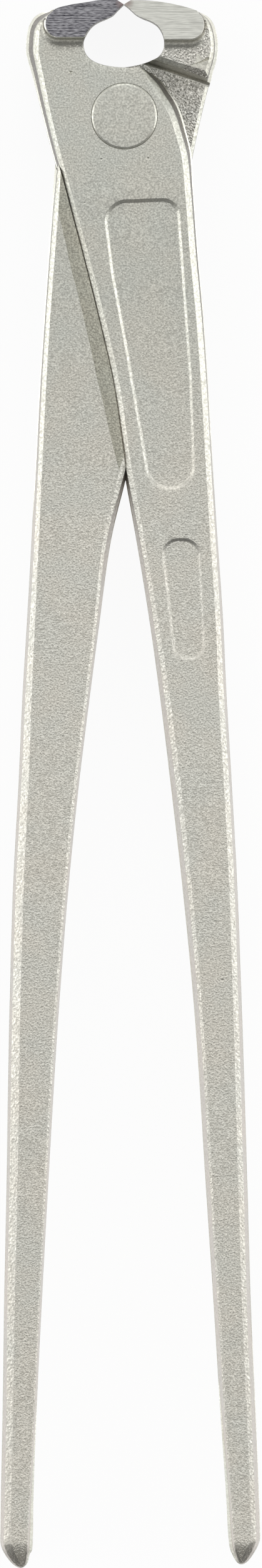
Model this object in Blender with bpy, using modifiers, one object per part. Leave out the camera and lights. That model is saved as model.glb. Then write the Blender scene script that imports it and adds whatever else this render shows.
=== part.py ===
"""Rebar tying pliers (concreter's end nippers), 300 mm long.

Two drop-forged levers cross at a lap joint and turn on one rivet. Both levers come from one
design: a plan outline with rounded edges, a thickness that falls from the jaw to the handle
end, and a lap recess on the side that faces the other lever. The rear lever is the same
forging turned over, half a turn about the tool's long axis.

The tool lies flat: +Y runs to the jaws, +X to the front lever's handle, +Z up. A lever's own
frame has its origin on the rivet axis at mid-thickness, its jaw at -X and its handle at +X.
"""
import math

import bmesh
import bpy
import numpy as np
from mathutils import Vector

MM = 0.001

# Reach of the levers, measured from the rivet axis
NOSE_REACH = 22.1 * MM
EDGE_REACH = 21.2 * MM
HANDLE_REACH = 277.9 * MM
HANDLE_SPAN = 49.8 * MM
FRONT_JAW_REACH = 18.7 * MM
REAR_JAW_REACH = 18.1 * MM

# Thickness across the tool
JAW_WIDTH = 20.0 * MM
JOINT_THICKNESS = 16.0 * MM
NECK_THICKNESS = 10.6 * MM
END_THICKNESS = 8.8 * MM

# Ground pads on the sides of the jaws
FRONT_PAD_REACH = 14.85 * MM
FRONT_PAD_CENTRE = 17.7 * MM
FRONT_PAD_RADIUS = 2.6 * MM
REAR_PAD_REACH = 15.5 * MM
REAR_PAD_CENTRE = 17.1 * MM
REAR_PAD_RADIUS = 2.8 * MM
PAD_END_DRAFT = math.radians(14)
PAD_FOOT_DRAFT = math.radians(42)
PAD_TOP_OPENING = math.radians(118)
PAD_FOOT_OPENING = math.radians(130)
PAD_CORNER_RUN = 1.2 * MM

# Mouth between the jaws
MOUTH_WIDTH = 15.4 * MM
MOUTH_FLOOR = 9.2 * MM
EDGE_GAP = 0.3 * MM
NOSE_BEVEL = 1.3 * MM

# Lap joint
JOINT_RADIUS = 9.8 * MM
JOINT_HALF_WIDTH = 13.1 * MM
JOINT_DROP = 9.2 * MM
SHOULDER_CLEARANCE = 0.45 * MM
LAP_GAP = 0.3 * MM
RAMP_CLEARANCE = 0.35 * MM
CROTCH_REACH = 67.5 * MM
SHOULDER_ANGLE = math.radians(111)
SHOULDER_DRAFT = math.radians(12)
RAMP_DRAFT = math.radians(15)

# Handles
HANDLE_END_WIDTH = 6.2 * MM

# Rounded edges, as widths seen from the front
OUTER_CHAMFER = 2.1 * MM
INNER_CHAMFER = 1.0 * MM
JOINT_CHAMFER = 1.1 * MM
CHAMFER_HEIGHT_SHARE = 0.8
CHAMFER_BULGE_SHARES = ((0.0, 0.0), (0.30, 0.62), (1.0, 1.0))

# How far the forged side walls lean in from the middle plane to the rounded edge
SIDE_LEAN = 0.5 * MM
HANDLE_LEAN = 0.35 * MM

# The jaw's edge rounding and lean, as shares of the space between the pad's end and the side
JAW_CHAMFER_SHARE = 0.28
JAW_LEAN_SHARE = 0.34

# Rivet
RIVET_HEAD_DIAMETER = 12.5 * MM
RIVET_HEAD_DEPTH = 2.8 * MM
RIVET_STAND = 0.3 * MM
RIVET_EDGE_ROUND = 0.5 * MM
RIVET_SHANK_DIAMETER = 9.0 * MM
RIVET_CLEARANCE = 0.15 * MM

# Recessed panels on the front lever
PANEL_DEPTH = 0.6 * MM
PANEL_RIM = 0.5 * MM
LONG_PANEL_TOP = 16.0 * MM
LONG_PANEL_LENGTH = 55.7 * MM
SMALL_PANEL_TOP = 80.8 * MM
SMALL_PANEL_LENGTH = 23.5 * MM

# Fineness of the facets
LONGEST_STEP = 24.0 * MM
SHORTEST_STEP = 0.35 * MM
TURN_STEP = math.radians(7)
CORNER_STEP = math.radians(15)
SHARP_ANGLE = math.radians(35)
OVERRUN = 4.0 * MM
WELD_DISTANCE = 0.001 * MM
ROUND_STEPS = 64
SPAN_STEPS = 24
PAD_END_STEPS = 9

HALF_JAW = JAW_WIDTH / 2
HALF_JOINT = JOINT_THICKNESS / 2
HALF_SPAN = HANDLE_SPAN / 2
MOUTH_HALF = MOUTH_WIDTH / 2
MOUTH_DEPTH = EDGE_REACH - MOUTH_FLOOR
SHOULDER_REACH = JOINT_RADIUS + SHOULDER_CLEARANCE
PIVOT_Y = (HANDLE_REACH - NOSE_REACH) / 2
PAD_HEIGHT = HALF_JAW - HALF_JOINT

# Where an outline follows a size, its points are shares of that size, read along the tool
# Jaw outside: shares of the jaw reach and of the nose reach, then of the rounding and lean
JAW_SHARES = (
    (0.27, 1.000, 0.0), (0.53, 0.972, 0.0), (0.69, 0.943, 0.0), (0.77, 0.923, 0.0),
    (0.845, 0.898, 0.2), (0.915, 0.863, 0.5), (0.963, 0.805, 0.75), (0.99, 0.720, 1.0),
    (1.00, 0.590, 1.0), (0.99, 0.490, 1.0), (0.955, 0.415, 0.9),
)
# Joint's jaw side: share of the way from the joint's side to the jaw's, and of the nose reach
SIDE_SHARES = ((0.64, 0.20), (0.45, 0.026), (0.22, -0.234))
# Edge that crosses the other lever, shares of the joint half width and of the crotch reach
CROSSING_SHARES = (
    (1.000, 0.142), (0.920, 0.205), (0.815, 0.270), (0.640, 0.380), (0.430, 0.560),
    (0.215, 0.745),
)
# Inner and outer edges of the handle: way from the crotch, or the joint, to the end as the
# first share, and way from the tool's middle to the end's own place as the second
INNER_SHARES = (
    (0.060, 0.117), (0.145, 0.263), (0.290, 0.467), (0.430, 0.630), (0.570, 0.752),
    (0.715, 0.844), (0.860, 0.935), (0.945, 0.985),
)
OUTER_SHARES = (
    (0.940, 0.955), (0.885, 0.932), (0.775, 0.865), (0.665, 0.800), (0.555, 0.725),
    (0.440, 0.612), (0.330, 0.476), (0.195, 0.303), (0.062, 0.096),
)
OUTER_ROUND_SHARES = (1.0, 1.0, 1.0, 1.0, 1.0, 0.9, 0.76, 0.60, 0.52)
# Handle end, shares of its width across and along, from the inner side to the outer side
END_SHARES = (
    (0.000, 0.90), (0.030, 0.46), (0.150, 0.22), (0.380, 0.00), (0.620, 0.07),
    (0.800, 0.27), (0.950, 0.58), (1.000, 0.95),
)
# Joint's free edge: angle in degrees, and radius as a share of the joint radius
FREE_EDGE_SHARES = ((-23, 1.375), (-12, 1.215), (2, 1.110), (15, 1.047), (28, 1.005))
# Mouth wall, shares of the mouth's half width and depth, floor to edge
MOUTH_SHARES = (
    (0.24, 0.015), (0.675, 0.078), (0.87, 0.158), (0.965, 0.250), (1.00, 0.390),
    (0.974, 0.480), (0.87, 0.600), (0.74, 0.688), (0.56, 0.752), (0.345, 0.817),
    (0.247, 0.850), (0.147, 0.925),
)
# Thickness along the lever: reach as a share, and way from one thickness to the next
NECK_SHARES = ((0.045, 0.0), (0.110, 0.25), (0.215, 0.62), (0.310, 0.87), (0.400, 1.0))
END_THICKNESS_SHARES = ((0.620, 0.35), (0.900, 0.90), (1.010, 1.0))
# Panels, top to foot: share of the panel's length, its two sides as shares of the way across
# the lever's face, and the radius of its corners as a share of half its width
LONG_PANEL_SHARES = (
    (0.00, 0.309, 0.870, 0.38), (0.61, 0.225, 0.805, 12.0), (1.00, 0.233, 0.795, 0.92),
)
SMALL_PANEL_SHARES = ((0.00, 0.296, 0.800, 0.80), (1.00, 0.309, 0.765, 0.94))

bpy.context.scene.unit_settings.system = "METRIC"
for old in list(bpy.data.objects):
    bpy.data.objects.remove(old, do_unlink=True)


def new_collection(name):
    made = bpy.data.collections.new(name)
    bpy.context.scene.collection.children.link(made)
    return made


PARTS = new_collection("rebar_tying_pliers")
CUTTERS = new_collection("cutters")


def mix(start, end, share):
    """The value a share of the way from start to end."""
    return start + (end - start) * share


def smooth_run(points):
    """Points close together on a smooth curve through the given ones."""
    points = np.array(points, float)
    chords = np.linalg.norm(np.diff(points[:, :2], axis=0), axis=1)
    slopes = np.diff(points, axis=0) / chords[:, None]
    tangents = np.empty_like(points)
    tangents[0] = slopes[0]
    tangents[-1] = slopes[-1]
    ahead = chords[:-1, None]
    behind = chords[1:, None]
    tangents[1:-1] = (slopes[:-1] * behind + slopes[1:] * ahead) / (ahead + behind)
    run = []
    for i, chord in enumerate(chords):
        for t in np.arange(SPAN_STEPS) / SPAN_STEPS:
            rise = t * t * (3 - 2 * t)
            run.append(
                points[i] * (1 - rise)
                + points[i + 1] * rise
                + tangents[i] * chord * t * (1 - t) ** 2
                - tangents[i + 1] * chord * t * t * (1 - t)
            )
    run.append(points[-1])
    return run


def thinned(run):
    """The run with only the points that its bends, its length and the pads' edges need."""
    kept = [run[0]]
    heading = None
    for before, here, after in zip(run[:-2], run[1:-1], run[2:]):
        angle = math.atan2(here[1] - before[1], here[0] - before[0])
        if heading is None:
            heading = angle
        turned = abs(math.remainder(angle - heading, math.tau))
        gone = math.dist(here[:2], kept[-1][:2])
        rise = here[-1]
        pad_edge = rise in (0, 1) and (before[-1] != rise or after[-1] != rise)
        bend = turned > TURN_STEP and gone > SHORTEST_STEP
        if gone > LONGEST_STEP or bend or pad_edge:
            kept.append(here)
            heading = angle
    kept.append(run[-1])
    return kept


def pad_end(pad, rise):
    """The round end of a ground pad, from the nose to the mouth, at a share of its height."""
    reach, centre, top_radius = pad
    drop = PAD_HEIGHT * (1 - rise)
    opening = mix(PAD_FOOT_OPENING, PAD_TOP_OPENING, rise)
    points = []
    for turn in np.linspace(opening, math.pi * 3 / 2, PAD_END_STEPS):
        draft = mix(PAD_END_DRAFT, PAD_FOOT_DRAFT, max(0, -math.sin(turn)))
        radius = top_radius + drop * math.tan(draft)
        x = top_radius - reach + radius * math.cos(turn)
        points.append((x, centre + radius * math.sin(turn), HALF_JOINT + PAD_HEIGHT * rise))
    return points


def with_rise(run, pad):
    """The run with each point's way up from the joint's face, 0, to the pad's face, 1."""
    foot_x, foot_y, _ = pad_end(pad, 0)[-1]
    top_y = pad_end(pad, 1)[-1][1]
    risen = []
    for x, y, rounding, lean in run:
        from_foot = (y - foot_y) / (top_y - foot_y)
        from_end = (x - foot_x) / PAD_CORNER_RUN + 1
        rise = min(max(min(from_foot, from_end), 0), 1)
        risen.append((x, y, max(rounding, 0), max(lean, 0), rise))
    return risen


def crossing_edge():
    """The lever's edge where it crosses the other lever, from the joint to the crotch."""
    return [
        (-JOINT_HALF_WIDTH * across, -CROTCH_REACH * along, JOINT_CHAMFER, SIDE_LEAN)
        for across, along in CROSSING_SHARES
    ]


def lever_outline(jaw_reach, pad):
    """Plan outline at mid-thickness, counter-clockwise: X, Y, edge rounding, lean and rise."""
    edge = (-EDGE_GAP / 2, EDGE_REACH, 0, 0)
    nose = (-EDGE_GAP / 2 - NOSE_BEVEL, NOSE_REACH, 0, 0)
    jaw_chamfer = (jaw_reach - pad[0]) * JAW_CHAMFER_SHARE
    jaw_lean = (jaw_reach - pad[0]) * JAW_LEAN_SHARE
    outside = [nose]
    for across, along, share in JAW_SHARES:
        x = -jaw_reach * across
        outside.append((x, NOSE_REACH * along, jaw_chamfer * share, jaw_lean * share))
    for share, along in SIDE_SHARES:
        x = -mix(JOINT_HALF_WIDTH, jaw_reach, share)
        lean = mix(SIDE_LEAN, jaw_lean, share)
        outside.append((x, NOSE_REACH * along, JOINT_CHAMFER, lean))
    outside += crossing_edge()
    end_inner = HALF_SPAN - HANDLE_END_WIDTH
    outside.append((0, -CROTCH_REACH, INNER_CHAMFER, HANDLE_LEAN))
    for along, across in INNER_SHARES:
        y = -mix(CROTCH_REACH, HANDLE_REACH, along)
        outside.append((end_inner * across, y, INNER_CHAMFER, HANDLE_LEAN))
    for across, along in END_SHARES:
        y = HANDLE_END_WIDTH * along - HANDLE_REACH
        rounding = mix(INNER_CHAMFER, OUTER_CHAMFER, across)
        outside.append((mix(end_inner, HALF_SPAN, across), y, rounding, HANDLE_LEAN))
    for (along, across), round_share in zip(OUTER_SHARES, OUTER_ROUND_SHARES):
        y = -mix(JOINT_DROP, HANDLE_REACH, along)
        x = mix(JOINT_HALF_WIDTH, HALF_SPAN, across)
        outside.append((x, y, OUTER_CHAMFER * round_share, HANDLE_LEAN))
    outside.append((JOINT_HALF_WIDTH, -JOINT_DROP, JOINT_CHAMFER, SIDE_LEAN))
    corner = math.asin(MOUTH_FLOOR / JOINT_RADIUS)
    free_edge = [(math.radians(degrees), share) for degrees, share in FREE_EDGE_SHARES]
    free_edge.append(((free_edge[-1][0] + corner) / 2, 1))
    for turn, share in free_edge:
        radius = JOINT_RADIUS * share
        outside.append((radius * math.cos(turn), radius * math.sin(turn), JOINT_CHAMFER, SIDE_LEAN))
    outside.append((JOINT_RADIUS * math.cos(corner), MOUTH_FLOOR, 0, 0))
    mouth = [outside[-1], (0, MOUTH_FLOOR, 0, 0)]
    for across, along in MOUTH_SHARES:
        mouth.append((-MOUTH_HALF * across, MOUTH_FLOOR + MOUTH_DEPTH * along, 0, 0))
    mouth.append(edge)
    outside = thinned(with_rise(smooth_run(outside), pad))
    mouth = thinned(with_rise(smooth_run(mouth), pad))
    return outside + mouth[1:]


def half_thickness_table():
    """Reach along +Y and half thickness at each change of slope, handle end first."""
    rows = [(NOSE_REACH, HALF_JOINT)]
    half_neck = NECK_THICKNESS / 2
    half_end = END_THICKNESS / 2
    rows += [(-HANDLE_REACH * at, mix(HALF_JOINT, half_neck, share)) for at, share in NECK_SHARES]
    rows += [
        (-HANDLE_REACH * at, mix(half_neck, half_end, share)) for at, share in END_THICKNESS_SHARES
    ]
    return rows[::-1]


def follow_thickness(bm):
    """Scale a flat forging of joint thickness so that its faces follow the thickness table."""
    reaches, halves = zip(*half_thickness_table())
    for reach in reaches:
        everything = bm.verts[:] + bm.edges[:] + bm.faces[:]
        bmesh.ops.bisect_plane(
            bm, geom=everything, plane_co=(0, reach, 0), plane_no=(0, 1, 0), dist=WELD_DISTANCE
        )
    for vert in bm.verts:
        vert.co.z *= float(np.interp(vert.co.y, reaches, halves)) / HALF_JOINT


def inset_point(outline, i, width):
    """A corner of the outline moved inward, square to both of its sides."""
    here = Vector(outline[i][:2])
    came = (here - Vector(outline[i - 1][:2])).normalized()
    goes = (Vector(outline[(i + 1) % len(outline)][:2]) - here).normalized()
    inward = Vector((-came.y - goes.y, came.x + goes.x))
    return here + inward * (width / (1 + came.dot(goes)))


def bridge(bm, lower, upper):
    """Quads between two closed loops of as many corners."""
    for i in range(len(lower)):
        bm.faces.new((lower[i - 1], lower[i], upper[i], upper[i - 1]))


def lofted(loops):
    """A closed solid through loops of equal length, capped at the first and the last."""
    bm = bmesh.new()
    rings = [[bm.verts.new(point) for point in loop] for loop in loops]
    for lower, upper in zip(rings[:-1], rings[1:]):
        bridge(bm, lower, upper)
    bm.faces.new(rings[0][::-1])
    bm.faces.new(rings[-1])
    bm.normal_update()
    return bm


def add_object(name, bm, collection, frame):
    mesh = bpy.data.meshes.new(name)
    bm.to_mesh(mesh)
    bm.free()
    made = bpy.data.objects.new(name, mesh)
    collection.objects.link(made)
    made.parent = frame
    return made


def as_cutter(cutter):
    cutter.hide_render = True
    cutter.display_type = "WIRE"
    return cutter


def cut(piece, cutter):
    boolean = piece.modifiers.new(cutter.name, "BOOLEAN")
    boolean.operation = "DIFFERENCE"
    boolean.solver = "EXACT"
    boolean.object = cutter


def forged_side(bm, outline, middle, pad, side):
    """Walls, rounded edge, face and ground pad on one side (1 or -1) of the middle loop."""
    lower = middle
    for inset, height in CHAMFER_BULGE_SHARES:
        upper = []
        for i, (_, _, width, lean, rise) in enumerate(outline):
            drop = width * CHAMFER_HEIGHT_SHARE * (1 - height)
            x, y = inset_point(outline, i, lean + width * inset)
            z = HALF_JOINT + PAD_HEIGHT * rise - drop
            upper.append(bm.verts.new((x, y, z * side)))
        bridge(bm, lower, upper)
        lower = upper
    foot = [bm.verts.new((x, y, z * side)) for x, y, z in pad_end(pad, 0)]
    top = [bm.verts.new((x, y, z * side)) for x, y, z in pad_end(pad, 1)]
    rises = [point[-1] for point in outline]
    nose_side = rises.index(0)
    mouth_side = len(rises) - rises[::-1].index(0) - 1
    nose_top = next(i for i in range(nose_side) if rises[i + 1] < 1)
    mouth_top = next(i for i in range(mouth_side, len(rises)) if rises[i] == 1)
    bm.faces.new(lower[nose_side:mouth_side + 1] + foot[::-1])
    bm.faces.new(lower[mouth_top:] + lower[:nose_top + 1] + top)
    bm.faces.new(lower[nose_top:nose_side + 1] + [foot[0], top[0]])
    bm.faces.new(lower[mouth_side:mouth_top + 1] + [top[-1], foot[-1]])
    for i in range(len(foot) - 1):
        bm.faces.new((foot[i], foot[i + 1], top[i + 1], top[i]))


def lever_blank(outline, pad):
    """The whole forging with its ground pads, before the lap recess, holes and panels."""
    bm = bmesh.new()
    middle = [bm.verts.new((point[0], point[1], 0)) for point in outline]
    forged_side(bm, outline, middle, pad, 1)
    forged_side(bm, outline, middle, pad, -1)
    bmesh.ops.remove_doubles(bm, verts=bm.verts, dist=WELD_DISTANCE)
    bmesh.ops.recalc_face_normals(bm, faces=bm.faces)
    follow_thickness(bm)
    bmesh.ops.triangulate(bm, faces=bm.faces)
    return bm


def leaning_loop(outline, drafts, rise, z):
    """The outline at height z, drawn in at each corner by its own draft over the rise."""
    loop = []
    for i, draft in enumerate(drafts):
        loop.append((*inset_point(outline, i, rise * math.tan(draft)), z))
    return loop


def lap_form():
    """What the lap joint takes from a lever: all that lies under the other lever's plate."""
    normal = Vector((math.cos(SHOULDER_ANGLE), math.sin(SHOULDER_ANGLE)))
    along = Vector((-normal.y, normal.x))
    out = JOINT_HALF_WIDTH + FRONT_JAW_REACH
    shoulder = normal * SHOULDER_REACH
    high = shoulder - along * JOINT_HALF_WIDTH
    foot = [tuple(high), tuple(shoulder + along * out), (-out, -CROTCH_REACH - out)]
    drafts = [SHOULDER_DRAFT, SHOULDER_DRAFT, 0]
    foot += [(-JOINT_CHAMFER, -CROTCH_REACH - out), (RAMP_CLEARANCE, -CROTCH_REACH)]
    drafts += [0, RAMP_DRAFT]
    for x, y, *_ in crossing_edge()[::-1]:
        foot.append((RAMP_CLEARANCE - x, y))
        drafts.append(RAMP_DRAFT)
    foot += [(out, -JOINT_DROP / 2), (out, high.y)]
    drafts += [0, 0]
    rise = HALF_JAW + OVERRUN
    far = leaning_loop(foot, drafts, -rise, -rise)
    near = [(x, y, LAP_GAP / 2) for x, y in foot]
    return lofted([far, near])


def rivet_profile(clearance):
    """Half section of the rivet, top to bottom, grown by the clearance for its hole."""
    head = RIVET_HEAD_DIAMETER / 2 + clearance
    shank = RIVET_SHANK_DIAMETER / 2 + clearance
    top = HALF_JOINT + (OVERRUN if clearance else RIVET_STAND)
    seat = HALF_JOINT - RIVET_HEAD_DEPTH - clearance
    rounding = 0 if clearance else RIVET_EDGE_ROUND
    upper = [(0, top)]
    if rounding:
        for turn in (0, math.pi / 6, math.pi / 3, math.pi / 2):
            upper.append((
                head - rounding * (1 - math.sin(turn)),
                top - rounding * (1 - math.cos(turn)),
            ))
    else:
        upper.append((head, top))
    upper += [(head, seat), (shank, seat)]
    if clearance:
        return upper + [(shank, -HALF_JAW - OVERRUN), (0, -HALF_JAW - OVERRUN)]
    return upper + [(radius, -z) for radius, z in upper[::-1]]


def turned(name, profile, collection, frame):
    """A round piece about its own Z axis, from a half section that runs down its outer side."""
    bm = bmesh.new()
    verts = [bm.verts.new((radius, 0, z)) for radius, z in profile]
    for upper, lower in zip(verts[:-1], verts[1:]):
        bm.edges.new((upper, lower))
    made = add_object(name, bm, collection, frame)
    screw = made.modifiers.new("Turn", "SCREW")
    screw.steps = ROUND_STEPS
    screw.render_steps = ROUND_STEPS
    screw.use_merge_vertices = True
    screw.merge_threshold = WELD_DISTANCE
    return made


def shade_round(piece):
    """Make the turned surface the piece's own mesh, shaded smooth between its corners."""
    evaluated = piece.evaluated_get(bpy.context.evaluated_depsgraph_get())
    surface = bpy.data.meshes.new_from_object(evaluated)
    surface.name = piece.name
    piece.modifiers.clear()
    piece.data = surface
    surface.shade_smooth()
    surface.set_sharp_from_angle(angle=SHARP_ANGLE)


def face_sides(outline, reach):
    """The least and greatest X of the lever at one reach."""
    crossings = []
    for before, here in zip(outline[-1:] + outline[:-1], outline):
        if (before[1] - reach) * (here[1] - reach) < 0:
            share = (reach - before[1]) / (here[1] - before[1])
            crossings.append(mix(before[0], here[0], share))
    return min(crossings), max(crossings)


def rounded(corners, radii):
    """A polygon with each corner replaced by an arc of its own radius."""
    outline = []
    for i, radius in enumerate(radii):
        here = Vector(corners[i])
        back = (Vector(corners[i - 1]) - here).normalized()
        onward = (Vector(corners[(i + 1) % len(corners)]) - here).normalized()
        half_angle = back.angle(onward) / 2
        centre = here + (back + onward).normalized() * (radius / math.sin(half_angle))
        first = here + back * (radius / math.tan(half_angle)) - centre
        turn = (math.pi - 2 * half_angle) * (1 if back.cross(onward) < 0 else -1)
        steps = max(1, round(abs(turn) / CORNER_STEP))
        for step in range(steps + 1):
            angle = turn * step / steps
            x = first.x * math.cos(angle) - first.y * math.sin(angle)
            y = first.x * math.sin(angle) + first.y * math.cos(angle)
            outline.append((centre.x + x, centre.y + y))
    return outline


def panel_form(outline, top, length, shares):
    """A shallow recess with a sloping rim that follows the lever's sides and its face."""
    left, right, radii = [], [], []
    for along, low, high, round_share in shares:
        reach = -top - length * along
        sides = face_sides(outline, reach)
        left.append((mix(*sides, low), reach))
        right.append((mix(*sides, high), reach))
        radii.append((right[-1][0] - left[-1][0]) / 2 * round_share)
    rim = rounded(left + right[::-1], radii + radii[::-1])
    draft = math.atan(PANEL_RIM / PANEL_DEPTH)
    loops = []
    for rise in (PANEL_DEPTH, -PANEL_DEPTH):
        loops.append(leaning_loop(rim, [draft] * len(rim), rise, HALF_JOINT - rise))
    bm = lofted(loops)
    follow_thickness(bm)
    return bm


def plated_steel(name, colour, roughness):
    material = bpy.data.materials.new(name)
    material.use_nodes = True
    shader = material.node_tree.nodes["Principled BSDF"]
    shader.inputs["Base Color"].default_value = (*colour, 1)
    shader.inputs["Metallic"].default_value = 1
    shader.inputs["Roughness"].default_value = roughness
    return material


def joint_frame(name, turned_over):
    """An empty on the rivet axis at mid-thickness, which carries one lever and its cutters."""
    frame = bpy.data.objects.new(name, None)
    PARTS.objects.link(frame)
    frame.location = (0, PIVOT_Y, HALF_JAW)
    if turned_over:
        frame.rotation_euler = (0, math.pi, 0)
    return frame


def make_lever(name, jaw_reach, pad, frame):
    outline = lever_outline(jaw_reach, pad)
    lever = add_object(name, lever_blank(outline, pad), PARTS, frame)
    lap = as_cutter(add_object(name + "_lap", lap_form(), CUTTERS, frame))
    hole_profile = rivet_profile(RIVET_CLEARANCE)
    hole = as_cutter(turned(name + "_hole", hole_profile, CUTTERS, frame))
    cut(lever, lap)
    cut(lever, hole)
    lever.data.materials.append(plated_steel(name + "_zinc_plate", (0.56, 0.56, 0.53), 0.38))
    return lever, outline


front_frame = joint_frame("front_axis", False)
rear_frame = joint_frame("rear_axis", True)
front_pad = (FRONT_PAD_REACH, FRONT_PAD_CENTRE, FRONT_PAD_RADIUS)
rear_pad = (REAR_PAD_REACH, REAR_PAD_CENTRE, REAR_PAD_RADIUS)
front_lever, front_outline = make_lever("front_lever", FRONT_JAW_REACH, front_pad, front_frame)
make_lever("rear_lever", REAR_JAW_REACH, rear_pad, rear_frame)

panels = (
    ("long_panel", LONG_PANEL_TOP, LONG_PANEL_LENGTH, LONG_PANEL_SHARES),
    ("small_panel", SMALL_PANEL_TOP, SMALL_PANEL_LENGTH, SMALL_PANEL_SHARES),
)
for label, top, length, shares in panels:
    form = panel_form(front_outline, top, length, shares)
    cut(front_lever, as_cutter(add_object(label, form, CUTTERS, front_frame)))

rivet = turned("rivet", rivet_profile(0), PARTS, front_frame)
shade_round(rivet)
rivet.data.materials.append(plated_steel("rivet_zinc_plate", (0.60, 0.60, 0.57), 0.30))
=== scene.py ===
# %% [markdown]
# # Rebar tying pliers
# Concreters twist and cut tying wire with these end nippers. The real tool is three pieces of
# steel: two drop-forged levers that cross at a lap joint, and one rivet that they turn on. The
# forgings are zinc plated, and the sides of the jaws are ground afterwards, so bare steel shows
# there. This notebook builds a fine mesh for each of the three pieces over a fixed CAD frame,
# gives each its finish, and lights it like the photograph. Lengths are written in millimetres.

# %% Load the fixed frame
import math

import bmesh
import bpy
import numpy as np
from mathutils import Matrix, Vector, noise
from mathutils.geometry import delaunay_2d_cdt


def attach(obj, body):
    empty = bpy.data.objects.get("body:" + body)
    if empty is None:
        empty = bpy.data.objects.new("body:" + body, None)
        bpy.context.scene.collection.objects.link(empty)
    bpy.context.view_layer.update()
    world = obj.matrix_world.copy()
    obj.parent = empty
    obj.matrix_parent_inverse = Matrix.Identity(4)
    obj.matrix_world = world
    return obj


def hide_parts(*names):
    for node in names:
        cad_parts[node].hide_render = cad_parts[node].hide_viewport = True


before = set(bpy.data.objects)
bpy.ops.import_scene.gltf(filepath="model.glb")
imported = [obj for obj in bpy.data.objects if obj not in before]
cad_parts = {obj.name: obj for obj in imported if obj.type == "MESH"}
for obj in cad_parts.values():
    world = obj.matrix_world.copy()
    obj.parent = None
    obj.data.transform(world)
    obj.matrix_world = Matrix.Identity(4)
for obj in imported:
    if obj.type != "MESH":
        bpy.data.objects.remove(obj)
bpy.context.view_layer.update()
MM = 0.001
PIVOT = Vector((0, 127.9, 10.0))

# %% [markdown]
# ## The outline of one lever
# A forging like this is drawn as a plan outline that the die follows. Each table below runs
# along one side of the lever. A row holds X and Y from the rivet's axis, the width of the
# rounded edge there, and how far the forged wall leans in from the parting line to that edge.
# A lever lies with its jaw at -X, its handle at +X and its outer face at +Z, so both levers use
# the same functions. A mesh could also be drawn by hand, but a table is easy to check against a
# photograph.

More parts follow.
